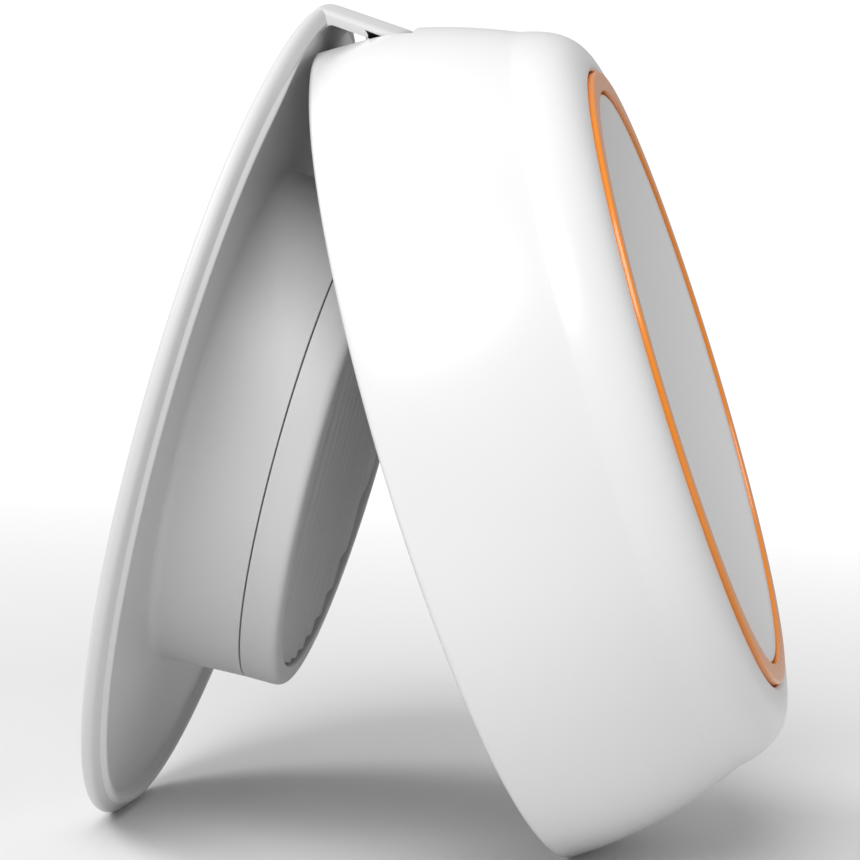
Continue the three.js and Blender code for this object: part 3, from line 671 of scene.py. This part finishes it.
addPiece(
    spunPiece("accentRing", ringOutline(), ring["steps"], headPlace, finishes["orange"]), "head", "orange",
    "accent_ring"
)


def dishOutline():
    rim = dish["rim"]
    bowl = (rim ** 2 + dish["depth"] ** 2) / (2 * dish["depth"])
    face = lambda r: dish["lip"] - dish["depth"] + bowl - math.sqrt(bowl ** 2 - r ** 2)
    back = [(r, face(r) - dish["wall"]) for r in np.linspace(0, rim - 1.5, 14)]
    front = [(r, face(r)) for r in np.linspace(rim - 0.5, 0, 40)]
    edge = [(rim - 1.5, 29.0), (rim - 0.2, 29.0), (rim, 29.2), (rim, face(rim) - 0.45)]
    roll = [
        (rim - 0.5 + 0.5 * math.sin(a), face(rim - 0.5) - 0.35 + 0.35 * math.cos(a))
        for a in np.linspace(math.pi / 2, 0, 5)[:-1]
    ]
    return back + edge + roll + front


addPiece(
    spunPiece("frontDish", dishOutline(), dish["steps"], headPlace, finishes["glossWhite"]), "head",
    "gloss_white", "front_dish"
)
print("ring and dish done")


# Back plate.

def plateOutline():
    r, back, seat = plate["radius"], plate["back"], plate["seat"]
    padSeat = back + pad["thick"] - pad["proud"] + fitGap
    edge = [(0, padSeat), (pad["radius"] + fitGap, padSeat), (pad["radius"] + fitGap, back, 0.35)]
    edge = list(softOutline(edge + [(r - 3.0, back, 0)], steps=4))
    silhouette = [
        (-3.0, 0), (-1.7, 0.0), (-1.1, 0.04), (-0.62, 0.2), (-0.26, 0.5), (-0.06, 0.82), (0, 1.15),
        (-0.06, 1.48), (-0.26, 1.82), (-0.6, 2.1)
    ]
    silhouette = smoothCurve([(r + a, back + b) for a, b in silhouette], 4)
    lip = softOutline([
        (r - 0.6, back + 2.1), (plate["lipOuter"], seat, 0.4),
        (plate["lipOuter"] - 0.5, plate["lipTop"], 0.5),
        (plate["lipInner"], plate["lipTop"] - 0.1, 0.4), (plate["lipInner"] - 0.2, plate["inner"], 0.25),
        (plate["lipInner"] - 1.2, plate["inner"], 0),
    ], steps=6)
    foot = pod["radius"]
    tall = pod["split"] - 0.1
    wall = softOutline([
        (54, plate["inner"], 0), (foot + 0.05, plate["inner"], 1.7), (foot - pod["draft"], tall, 0.15),
        (foot - pod["wall"], tall, 0.1), (foot - pod["wall"], plate["inner"], 0.4), (0, plate["inner"], 0),
    ], steps=8)
    flat = [(x, plate["inner"]) for x in np.linspace(53, 40, 8)]
    return [*edge[:-1], *silhouette, *lip[1:], wall[0], *flat, *wall[1:]]


def smoothCurve(points, steps):  # a curve through all the points
    points = np.array(points, float)
    out = []
    for i in range(len(points) - 1):
        p0, p1, p2, p3 = points[max(i - 1, 0)], points[i], points[i + 1], points[min(i + 2, len(points) - 1)]
        for k in range(steps):
            t = k / steps
            out.append(0.5 * (
                2 * p1 + (p2 - p0) * t + (2 * p0 - 5 * p1 + 4 * p2 - p3) * t * t
                + (3 * p1 - p0 - 3 * p2 + p3) * t ** 3
            ))
    return [tuple(p) for p in out] + [tuple(points[-1])]


def shapePlate(points):
    x, y, z = points[:, 0].copy(), points[:, 1].copy(), points[:, 2].copy()
    reach = np.hypot(y, z) + 1e-9
    across, up = y / reach, z / reach
    brow = plate["browRise"] * up + np.sqrt(plate["browRadius"] ** 2 - (plate["browRise"] * across) ** 2)
    swell = -softMin(-(brow - plate["radius"]), np.zeros_like(brow), 0.35)
    swell = np.where(up > 0.5, np.maximum(swell - 0.09, 0), 0)
    swell *= smoothStep(48, 57, reach)
    fade = 1 - smoothStep(
        plate["lipBreak"] - plate["lipFade"], plate["lipBreak"] + plate["lipFade"], np.abs(y)
    )
    fade = fade * (z > 0)
    onLip = (reach < plate["lipOuter"] + 0.01) & (reach > plate["lipInner"] - 1.5) & (x > plate["inner"])
    x = np.where(onLip, x + (plate["inner"] - x) * fade, x)
    return np.stack([x, y + across * swell, z + up * swell], 1)


def armGrid():  # a curved strip along the plate's own circle
    top = lambda x: arm["radius"] - arm["taper"] * x
    thick, reach, inner = arm["thick"], arm["reach"], plate["inner"]
    outline = softOutline([
        (top(0) - 6, plate["back"] + 0.35, 0), (top(0) - 0.1, plate["back"] + 0.35, 1.2), (top(2), 2, 0),
        (top(6), 6, 0), (top(10), 10, 0),
        (top(reach), reach, 1.0), (top(reach) - thick - 1, reach, 0.3),
        (top(reach) - thick, 10.8, 0.4), (top(inner) - thick - 0.1, inner + 0.9, 1.2),
        (top(inner) - thick - 1.8, inner - 0.1, 0), (top(0) - 6, inner - 0.1, 0),
    ], closed=True, steps=5)
    crown = np.array([1 if r > top(x) - 0.9 else 0 for r, x in outline])
    columns = np.concatenate([
        -arm["half"] + arm["edge"] * (1 - np.cos(np.linspace(0, math.pi / 2, 7))),
        np.linspace(-arm["half"] + arm["edge"] + 0.6, arm["half"] - arm["edge"] - 0.6, 21),
        arm["half"] - arm["edge"] * (1 - np.cos(np.linspace(math.pi / 2, 0, 7))),
    ])
    points = []
    for y in columns:
        past = max(abs(y) - (arm["half"] - arm["edge"]), 0) / arm["edge"]
        drop = arm["edge"] * 0.8 * (1 - math.sqrt(max(1 - past ** 2, 0)))
        for (r, x), w in zip(outline, crown):
            points.append((x, y, math.sqrt((r - w * drop) ** 2 - y ** 2)))
    count = len(outline)
    faces = [
        [i * count + k, i * count + (k + 1) % count, (i + 1) * count + (k + 1) % count, (i + 1) * count + k]
        for i in range(len(columns) - 1) for k in range(count)
    ]
    faces += [list(range(count)), [(len(columns) - 1) * count + k for k in range(count)][::-1]]
    return np.array(points), faces


hingeJoint = next(j for j in frame["joints"] if j["name"] == "fold_hinge")
hingeInPlate = platePlace.inverted() @ Vector(hingeJoint["pos_m"]) / mm
hingeInHead = headPlace.inverted() @ Vector(hingeJoint["pos_m"]) / mm
hinge = {
    "barrel": 2.5, "pin": 1.2, "bore": 1.28, "washer": 0.4, "ear": 2.8, "foot": 1.9, "earRadius": 2.2,
    "half": 10.0
}


def barrelOutline(radius, bore, low, high, soften):
    if bore <= 0:
        return softOutline([(0, low), (radius, low, soften), (radius, high, soften), (0, high)], steps=4)
    return softOutline(
        [
            (bore, low, soften * 0.4), (radius, low, soften), (radius, high, soften),
            (bore, high, soften * 0.4)
        ],
        closed=True, steps=4
    )


def alongHinge(grid, at):  # a spun grid turned so its axis lies along the hinge
    points, faces = grid
    turned = np.stack([points[:, 1] + at[0], points[:, 0], points[:, 2] + at[2]], 1)
    return turned, faces


def kneeGrid():
    kx, kz = hingeInPlate.x, hingeInPlate.z
    under = arm["radius"] - arm["taper"] * kx - arm["thick"]
    outline = softOutline([
        (kx - hinge["barrel"], kz, 0), (kx - 1.6, kz - 0.4, 0), (kx + 1.6, kz - 0.4, 0),
        (kx + hinge["barrel"], kz, 0),
        (arm["reach"], kz + 2.6, 0.6), (arm["reach"], under, 0.2),
        (kx - hinge["barrel"] - 0.8, under + 0.3, 0),
        (kx - hinge["barrel"] - 0.25, under - 0.6, 0.6), (kx - hinge["barrel"], under - 1.6, 0.6),
    ], closed=True, steps=4)
    return prismGrid(outline, -hinge["half"], hinge["half"], "xz", 0.35)


points, faces = spunGrid(plateOutline(), plate["steps"])
plateGrid = (shapePlate(points), faces)
bored = spunGrid(barrelOutline(hinge["barrel"], hinge["bore"], -hinge["half"], hinge["half"], 0.25), 40)
plateParts = joinGrids(plateGrid, armGrid(), kneeGrid(), alongHinge(bored, hingeInPlate))
backPlate = makePiece("backPlate", *plateParts, platePlace, finishes["satinWhite"], 40)
keepAboveFloor(backPlate)
addPiece(backPlate, "plate", "satin_white", "back_plate")

padBack = plate["back"] - pad["proud"]
padFront = padBack + pad["thick"]
padOutline = softOutline([
    (0, padBack), (pad["radius"], padBack, 0.45), (pad["radius"], padFront, 0.1), (0, padFront),
], steps=6)
addPiece(
    spunPiece("rubberPad", padOutline, pad["steps"], platePlace, finishes["rubber"]), "plate", "pad_rubber",
    "rubber_pad"
)
print("back plate done")


# Pod cap and ribbed pad.

def capOutline():
    outer, base = pod["radius"] - pod["draft"], pod["split"] + 0.1
    floor = pod["height"] - pod["recessDepth"]
    spigot = pod["radius"] - pod["wall"] - fitGap
    return softOutline([
        (0, floor - 1.6), (spigot - 1.6, floor - 1.6, 0.3), (spigot - 1.6, pod["split"] - 2, 0.2),
        (spigot, pod["split"] - 2, 0.3),
        (spigot, base, 0.1), (outer, base, 0.15), (outer - 0.1, pod["height"], pod["round"]),
        (pod["recess"], pod["height"], 0.45), (pod["recess"], floor, 0.15), (0, floor),
    ], steps=8)


addPiece(
    spunPiece("podCap", capOutline(), pod["steps"], platePlace, finishes["satinWhite"]), "plate",
    "satin_white", "pod_cap"
)

ribs = {"pitch": 4.75, "height": 0.6, "sheet": 0.6, "radius": 31.9, "perFlute": 16, "along": 24, "ridge": 2.6}


# A disc whose face is fluted: its columns follow the ridges and end on the circle.
def flutedDisc(name, look, floor, place, material):
    shaping = Shaping(name + "Shape")
    radius, pitch = shaping.size("Radius", look["radius"] * mm), shaping.size("Pitch", look["pitch"] * mm)
    sheet, height = shaping.size("Sheet", look["sheet"] * mm), shaping.size("Height", look["height"] * mm)
    low, ridge = shaping.size("Floor", floor * mm), shaping.size("Ridge", look["ridge"])
    columns = int(2 * look["radius"] / look["pitch"] * look["perFlute"])
    block = shaping.add("GeometryNodeMeshCube", {}, (1, 1, 1), columns, look["along"], 2)
    across, along, level = shaping.parts(shaping.add("GeometryNodeInputPosition", {}))
    y = across * 1.998 * radius
    half = (radius * radius - y * y) ** 0.5
    crest = (radius.maths("PINGPONG", y / pitch, 0.5) * 2) ** ridge
    x = low + (level + 0.5) * (sheet + height * crest)
    spot = shaping.add("ShaderNodeCombineXYZ", {}, x, y, along * 2 * half)
    shaped = shaping.add("GeometryNodeSetPosition", {}, block, Position=spot)
    return shaping.piece(name, [(0, 0, 0)], shaped, place, material, 50)


# Sets copies of one piece on points.
def copiesOnPoints(name, unit, spots, place, material, sharp=35):
    unitPiece = makePiece(name + "Unit", *unit, Matrix.Identity(4), material, sharp)
    shaping = Shaping(name + "Copies")
    source = shaping.size("Unit", unitPiece, "NodeSocketObject")
    scale = shaping.size("Scale", 1.0)
    shape = shaping.add("GeometryNodeObjectInfo", {}, source, output="Geometry")
    points = Wire(shaping, shaping.given.outputs["Geometry"])
    copies = shaping.add("GeometryNodeInstanceOnPoints", {}, points, Instance=shape, Scale=scale)
    piece = shaping.piece(name, spots, copies, place, material, sharp)
    bpy.data.objects.remove(unitPiece)
    return piece


def joinPieces(name, pieces, sharp=35):
    build = bmesh.new()
    for piece in pieces:
        build.from_mesh(piece.data)
    mesh = bpy.data.meshes.new(name)
    build.to_mesh(mesh)
    build.free()
    material = pieces[0].data.materials[0]
    for piece in pieces:
        bpy.data.objects.remove(piece)
    joined = bpy.data.objects.new(name, mesh)
    bpy.context.scene.collection.objects.link(joined)
    finishSurface(joined, material, sharp)
    return joined


padFloor = pod["height"] - pod["recessDepth"] + fitGap
ribbedPad = flutedDisc("ribbedPad", ribs, padFloor, platePlace, finishes["padGrey"])
addPiece(ribbedPad, "plate", "pad_grey", "ribbed_pad")
print("pod and ribbed pad done")


# Rear cover.

cover = {
    "face": 3.4, "wall": 1.6, "cavity": 38.6, "floor": 17.5, "bayHalf": 15.8, "bayLow": 48.8,
    "bayFront": 13.8, "board": 21.7, "steps": 256
}
jacks = {
    "circle": 47.4, "across": 16, "radial": 12.8, "deep": 13.4, "socket": (11.8, 8.6), "latch": (6.4, 2.4),
    "socketDeep": 12,
    "angles": {"ethernet_jack_wan": 150, "ethernet_jack_lan": 210},
}
contacts = {"count": 8, "pitch": 1.02, "half": 0.2}
powerJack = {
    "angle": 180, "across": 9.4, "radial": 3.6, "socket": (8.4, 2.6), "socketDeep": 7,
    "tongue": (6.6, 0.75), "tongueDeep": 7.5,
}
statusLight = {"angle": 165, "radius": 1.2}
posts = {"circle": 53.4, "angles": (45, 135, 225, 315), "well": 2.2, "wellDeep": 4.2}
buttons = {
    "sync_button": {"angle": 118, "radius": 3.5, "proud": -0.5},
    "reset_button": {"angle": 242, "radius": 1.2, "proud": 0.4}
}


def coverOutline():
    outer, face, wall = head["rearRadius"] - head["wall"] - fitGap, cover["face"], cover["wall"]
    return softOutline([
        (0, cover["floor"]), (cover["cavity"], cover["floor"], 1.6), (cover["cavity"], face, 0.7),
        (outer, face, 0.35),
        (outer, face + wall, 0.1), (cover["cavity"] + wall, face + wall, 0.4),
        (cover["cavity"] + wall, cover["floor"] + wall, 1.0), (0, cover["floor"] + wall),
    ], steps=6)


def holeAt(angle, circle, across, radial, low, high, rounding=0.4):
    outline = roundedRectangle(across, radial, rounding, centre=(0, circle))
    points, faces = prismGrid(outline, low, high, "yz")
    return clockTurn(points, angle), faces


def roundHole(radius, low, high, at, steps=40):
    return spunGrid([(0, low), (radius, low), (radius, high), (0, high)], steps, at)


coverPiece = spunPiece("rearCover", coverOutline(), cover["steps"], headPlace, finishes["coverGrey"])
cutters = [prismGrid(
    roundedRectangle(2 * cover["bayHalf"], 12, 1.0, centre=(0, cover["bayLow"] + 6)), 0, 8, "yz"
)]
for angle in jacks["angles"].values():
    cutters.append(holeAt(
        angle, jacks["circle"], jacks["across"] + 2 * fitGap, jacks["radial"] + 2 * fitGap, 0, 6
    ))
powerHole = (powerJack["across"] + 2 * fitGap, powerJack["radial"] + 2 * fitGap)
cutters.append(holeAt(powerJack["angle"], jacks["circle"], *powerHole, 0, 6, 2.0))
for look in buttons.values():
    cutters.append(roundHole(look["radius"] + fitGap, 0, 6, clockPlace(jacks["circle"], look["angle"])))
cutters.append(roundHole(
    statusLight["radius"] + fitGap, 0, 6, clockPlace(jacks["circle"], statusLight["angle"])
))
for angle in posts["angles"]:
    cutters.append(roundHole(posts["well"], 0, posts["wellDeep"], clockPlace(posts["circle"], angle)))
cutAway(coverPiece, cutters, headPlace)


def bayGrid():  # the open box the hinge sits in
    low, front, half = cover["bayLow"], cover["bayFront"], cover["bayHalf"]
    wall, face = cover["wall"], cover["face"] + 0.4
    reach = half + wall
    under = [(face, low), (front + wall, low), (front + wall, low - wall), (face, low - wall)]
    floor = prismGrid(under, -reach, reach, "xz")
    side = [(face, low), (front, low), (front, 53.6), (9, 54.8), (face, 54.8)]
    ends = [prismGrid(side, -reach, -half, "xz"), prismGrid(side, half, reach, "xz")]
    forward = [(front, low), (front + wall, low), (front + wall, 51.6), (front, 51.6)]
    return joinGrids(floor, prismGrid(forward, -reach, reach, "xz"), *ends)


bay = makePiece("hingeBay", *bayGrid(), headPlace, finishes["coverGrey"])
addPiece(joinPieces("rearCover", [coverPiece, bay]), "head", "cover_grey", "rear_cover")
print("rear cover done")


# Screws, hinge, jacks and buttons.

def screwGrid(headRadius, headHeight, shaft, length):  # pan head at x < 0, shaft towards +x
    outline = softOutline([
        (0, -headHeight), (headRadius, -headHeight, headHeight * 0.75), (headRadius, 0, 0.08), (shaft, 0),
        (shaft, length, 0.3), (0, length),
    ], steps=5)
    return spunGrid(outline, 32)


def crossCutter(size, width, depth, top):
    bar = lambda a, b: prismGrid(roundedRectangle(a, b, 0.12, 2), top - 0.5, top + depth, "yz")
    return [bar(size, width), bar(width, size)]


def screwUnit(name, headRadius, headHeight, shaft, length):
    piece = makePiece(
        name, *screwGrid(headRadius, headHeight, shaft, length), Matrix.Identity(4), finishes["steel"]
    )
    cutAway(piece, crossCutter(headRadius * 1.15, 0.42, 0.5, -headHeight), Matrix.Identity(4))
    mesh = piece.data
    points = np.array([v.co[:] for v in mesh.vertices]) / mm
    faces = [list(p.vertices) for p in mesh.polygons]
    bpy.data.objects.remove(piece)
    return points, faces


# head radius, head height, shaft radius, length
screws = {"cover": (1.85, 0.85, 0.95, 8.8), "ear": (1.85, 1.0, 0.95, 3.0)}
coverScrew = screwUnit("coverScrewShape", *screws["cover"])
spots = [(cover["face"] + 0.5, *clockPlace(posts["circle"], a)) for a in posts["angles"]]
coverScrews = copiesOnPoints("coverScrews", coverScrew, spots, headPlace, finishes["steel"])
addPiece(coverScrews, "head", "steel", *[f"cover_screw_{i}" for i in (1, 2, 3, 4)])

earInner = hinge["half"] + hinge["washer"] + 0.2
for name, side in (("left", -1), ("right", 1)):
    hx, hz, r = hingeInHead.x, hingeInHead.z, hinge["earRadius"]
    foot = cover["bayLow"] + fitGap
    arc = [(hx + r * math.cos(a), hz + r * math.sin(a)) for a in np.linspace(0, math.pi, 17)]
    cheek = softOutline([(hx - r, foot, 0.1), (hx + r, foot, 0.1), *arc], closed=True, steps=4)
    low = earInner if side > 0 else -earInner - hinge["ear"]
    wide = hinge["ear"] + hinge["foot"]
    footLow = earInner if side > 0 else -earInner - wide
    footSide = roundedRectangle(
        cover["bayFront"] - fitGap - hx + r, wide, 0.5,
        centre=((cover["bayFront"] - fitGap + hx - r) / 2, footLow + wide / 2))
    bracket = joinGrids(
        prismGrid(cheek, low, low + hinge["ear"], "xz", 0.2),
        prismGrid(footSide, foot, foot + 1.4, "xy", 0.15))
    ear = makePiece("hingeEar" + name, *bracket, headPlace, finishes["steel"])
    addPiece(ear, "head", "steel", "hinge_ear_" + name)
    low = hinge["half"] + 0.1 if side > 0 else -hinge["half"] - 0.1 - hinge["washer"]
    washer = alongHinge(
        spunGrid(barrelOutline(hinge["barrel"], hinge["bore"], low, low + hinge["washer"], 0.08), 40),
        hingeInHead
    )
    addPiece(
        makePiece("frictionWasher" + name, *washer, headPlace, finishes["brass"]), "head", "washer_brass",
        "friction_washer_" + name
    )
    points, faces = screwGrid(*screws["ear"])
    across, along = side * (earInner + wide / 2), cover["bayFront"] - 2.1
    upright = np.stack([points[:, 2] + along, points[:, 1] + across, -points[:, 0] + foot + 1.7], 1)
    addPiece(
        makePiece("earScrew" + name, upright, faces, headPlace, finishes["steel"]), "head", "steel",
        "ear_screw_" + name
    )
pinHalf = earInner + hinge["ear"] - 0.2
pin = alongHinge(spunGrid(barrelOutline(hinge["pin"], 0, -pinHalf, pinHalf, 0.25), 32), hingeInHead)
addPiece(makePiece("hingePin", *pin, headPlace, finishes["steel"]), "head", "steel", "hinge_pin")


def jackPiece(node, angle):
    face, circle = cover["face"], jacks["circle"]
    body = prismGrid(
        roundedRectangle(jacks["across"], jacks["radial"], 0.5, centre=(0, circle)), face,
        face + jacks["deep"], "yz", 0.25
    )
    foot = prismGrid(
        roundedRectangle(jacks["across"] - 2, jacks["radial"] - 5, 0.3, centre=(0, circle - 2.4)),
        face + jacks["socketDeep"], cover["board"], "yz"
    )
    piece = makePiece("jackShield", clockTurn(body[0], angle), body[1], headPlace, finishes["tin"])
    socket = prismGrid(
        roundedRectangle(*jacks["socket"], 0.3, centre=(0, circle - 0.4)), 0, face + jacks["socketDeep"],
        "yz"
    )
    latch = prismGrid(
        roundedRectangle(*jacks["latch"], 0.2, centre=(0, circle + 4.2)), 0, face + jacks["socketDeep"],
        "yz"
    )
    cutAway(
        piece, [(clockTurn(socket[0], angle), socket[1]), (clockTurn(latch[0], angle), latch[1])], headPlace
    )
    base = makePiece("jackFoot", clockTurn(foot[0], angle), foot[1], headPlace, finishes["tin"])
    shield = joinPieces("jackShield" + node[-3:], [piece, base])
    addPiece(shield, "head", "tin_plate", node)
    strips = []
    for k in range(contacts["count"]):
        y = (k - (contacts["count"] - 1) / 2) * contacts["pitch"]
        wire = prismGrid(
            softOutline(
                [
                    (face + 2.2, circle - 4.55), (face + 9.5, circle - 2.2, 0.6),
                    (face + 9.5, circle - 1.85, 0.3), (face + 2.0, circle - 4.2)
                ],
                closed=True, steps=3
            ),
            y - contacts["half"], y + contacts["half"], "xz", 0.08
        )
        strips.append((clockTurn(wire[0], angle), wire[1]))
    wires = makePiece("jackContacts" + node[-3:], *joinGrids(*strips), headPlace, finishes["gold"])
    addPiece(wires, "head", "tin_plate")


for node, angle in jacks["angles"].items():
    jackPiece(node, angle)

powerBody = prismGrid(
    roundedRectangle(powerJack["across"], powerJack["radial"], 1.7, 8, centre=(0, jacks["circle"])),
    cover["face"] + 0.2, cover["board"], "yz", 0.15
)
power = makePiece(
    "powerShield", clockTurn(powerBody[0], powerJack["angle"]), powerBody[1], headPlace, finishes["tin"]
)
powerSocket = prismGrid(
    roundedRectangle(*powerJack["socket"], 1.25, 8, centre=(0, jacks["circle"])), 0,
    cover["face"] + powerJack["socketDeep"], "yz"
)
cutAway(power, [(clockTurn(powerSocket[0], powerJack["angle"]), powerSocket[1])], headPlace)
addPiece(power, "head", "tin_plate", "power_jack")
tongue = prismGrid(
    roundedRectangle(*powerJack["tongue"], 0.2, 3, centre=(0, jacks["circle"])), cover["face"] + 1.2,
    cover["face"] + powerJack["tongueDeep"], "yz", 0.1
)
addPiece(
    makePiece(
        "powerTongue", clockTurn(tongue[0], powerJack["angle"]), tongue[1], headPlace, finishes["black"]
    ),
    "head", "chip_black"
)

for node, look in buttons.items():
    face = cover["face"] + look["proud"]
    back = cover["face"] + cover["wall"] + fitGap
    outline = softOutline([
        (0, face + 0.12), (look["radius"] * 0.55, face + 0.06), (look["radius"], face, 0.35),
        (look["radius"], back, 0.1),
        (look["radius"] + 1.2, back, 0.15), (look["radius"] + 1.2, back + 0.9, 0.1), (0, back + 0.9),
    ], steps=5)
    name = node.replace("_button", "Button")
    addPiece(
        spunPiece(
            name, outline, 56, headPlace, finishes["button"], clockPlace(jacks["circle"], look["angle"])
        ),
        node, "button_grey", node
    )
pipeRadius = statusLight["radius"]
pipe = softOutline([
    (0, cover["face"]), (pipeRadius, cover["face"], 0.3), (pipeRadius, cover["board"], 0.1),
    (0, cover["board"]),
], steps=5)
addPiece(
    spunPiece(
        "statusLight", pipe, 32, headPlace, finishes["lightGuide"],
        clockPlace(jacks["circle"], statusLight["angle"])
    ),
    "head", "light_guide", "status_light_pipe"
)
print("hinge, jacks and buttons done")


# Floor, lights and camera.

studio = {
    "floor": 0.6, "fadeFrom": 0.13, "fadeTo": 0.42, "sky": 0.42, "backdrop": 1.05,
    "key": 11.0, "keySize": 0.9, "keyPlace": (-0.1, -0.85, 0.95),
    "rim": 5.0, "rimSize": 0.6, "rimPlace": (-0.9, 0.1, 0.75),
}


def floorPaint():  # pale near the object, fading out to the backdrop
    paint = Paint("paleFloor")
    shade = paint.mixColours(paint.noise(3.0), (0.78, 0.78, 0.78), (0.82, 0.82, 0.82))
    away = paint.add("ShaderNodeVectorMath", {"operation": "LENGTH"}, paint.place, output="Value")
    fade = paint.mask(
        away / studio["floor"], (studio["fadeFrom"] / studio["floor"], 1.0),
        (studio["fadeTo"] / studio["floor"], 0.0)
    )
    return paint.feed(Base_Color=shade, Roughness=0.7, Alpha=fade)


def studioFloor():
    rim = [(*clockPlace(studio["floor"] / mm, a), 0) for a in np.arange(0, 360, 4)]
    floor = makePiece("studioFloor", np.array(rim), [list(range(len(rim)))], Matrix.Identity(4), floorPaint())
    if floor.data.polygons[0].normal.z < 0:
        floor.data.flip_normals()


def softLight(name, size, power, position, target):
    lamp = bpy.data.lights.new(name, "AREA")
    lamp.shape, lamp.size, lamp.energy = "DISK", size, power
    light = bpy.data.objects.new(name, lamp)
    light.location = position
    light.rotation_euler = (Vector(target) - Vector(position)).to_track_quat("-Z", "Y").to_euler()
    bpy.context.scene.collection.objects.link(light)


studioFloor()
softLight("frontSoftbox", studio["keySize"], studio["key"], studio["keyPlace"], (0, 0, 0.06))
softLight("sideSoftbox", studio["rimSize"], studio["rim"], studio["rimPlace"], (0, 0, 0.06))

world = bpy.data.worlds.new("softStudio")
bpy.context.scene.world = world
world.use_nodes = True
sky = world.node_tree.nodes
background = sky["Background"]
background.inputs["Color"].default_value = (1, 1, 1, 1)
seen = sky.new("ShaderNodeLightPath")
lift = sky.new("ShaderNodeMapRange")
lift.inputs["To Min"].default_value = studio["sky"]
lift.inputs["To Max"].default_value = studio["backdrop"]
world.node_tree.links.new(seen.outputs["Is Camera Ray"], lift.inputs["Value"])
world.node_tree.links.new(lift.outputs["Result"], background.inputs["Strength"])
bpy.context.scene.view_settings.view_transform = "Standard"

camera = {
    "lens": 161.46, "place": (85.2, -541.6, 25.9), "forward": (-0.15908, 0.98641, -0.04104),
    "up": (0.28403, 0.08554, 0.95500)
}
lens = bpy.data.cameras.new("productLens")
lens.lens, lens.sensor_width = camera["lens"], 36
lens.clip_start, lens.clip_end = 0.01, 50
view = bpy.data.objects.new("productCamera", lens)
bpy.context.scene.collection.objects.link(view)
forward, up = Vector(camera["forward"]).normalized(), Vector(camera["up"])
right = forward.cross(up).normalized()
up = right.cross(forward)
local = Matrix((right, up, -forward)).transposed().to_4x4()
local.translation = Vector(camera["place"]) * mm
view.matrix_world = headPlace @ local
bpy.context.scene.camera = view
print("studio done")
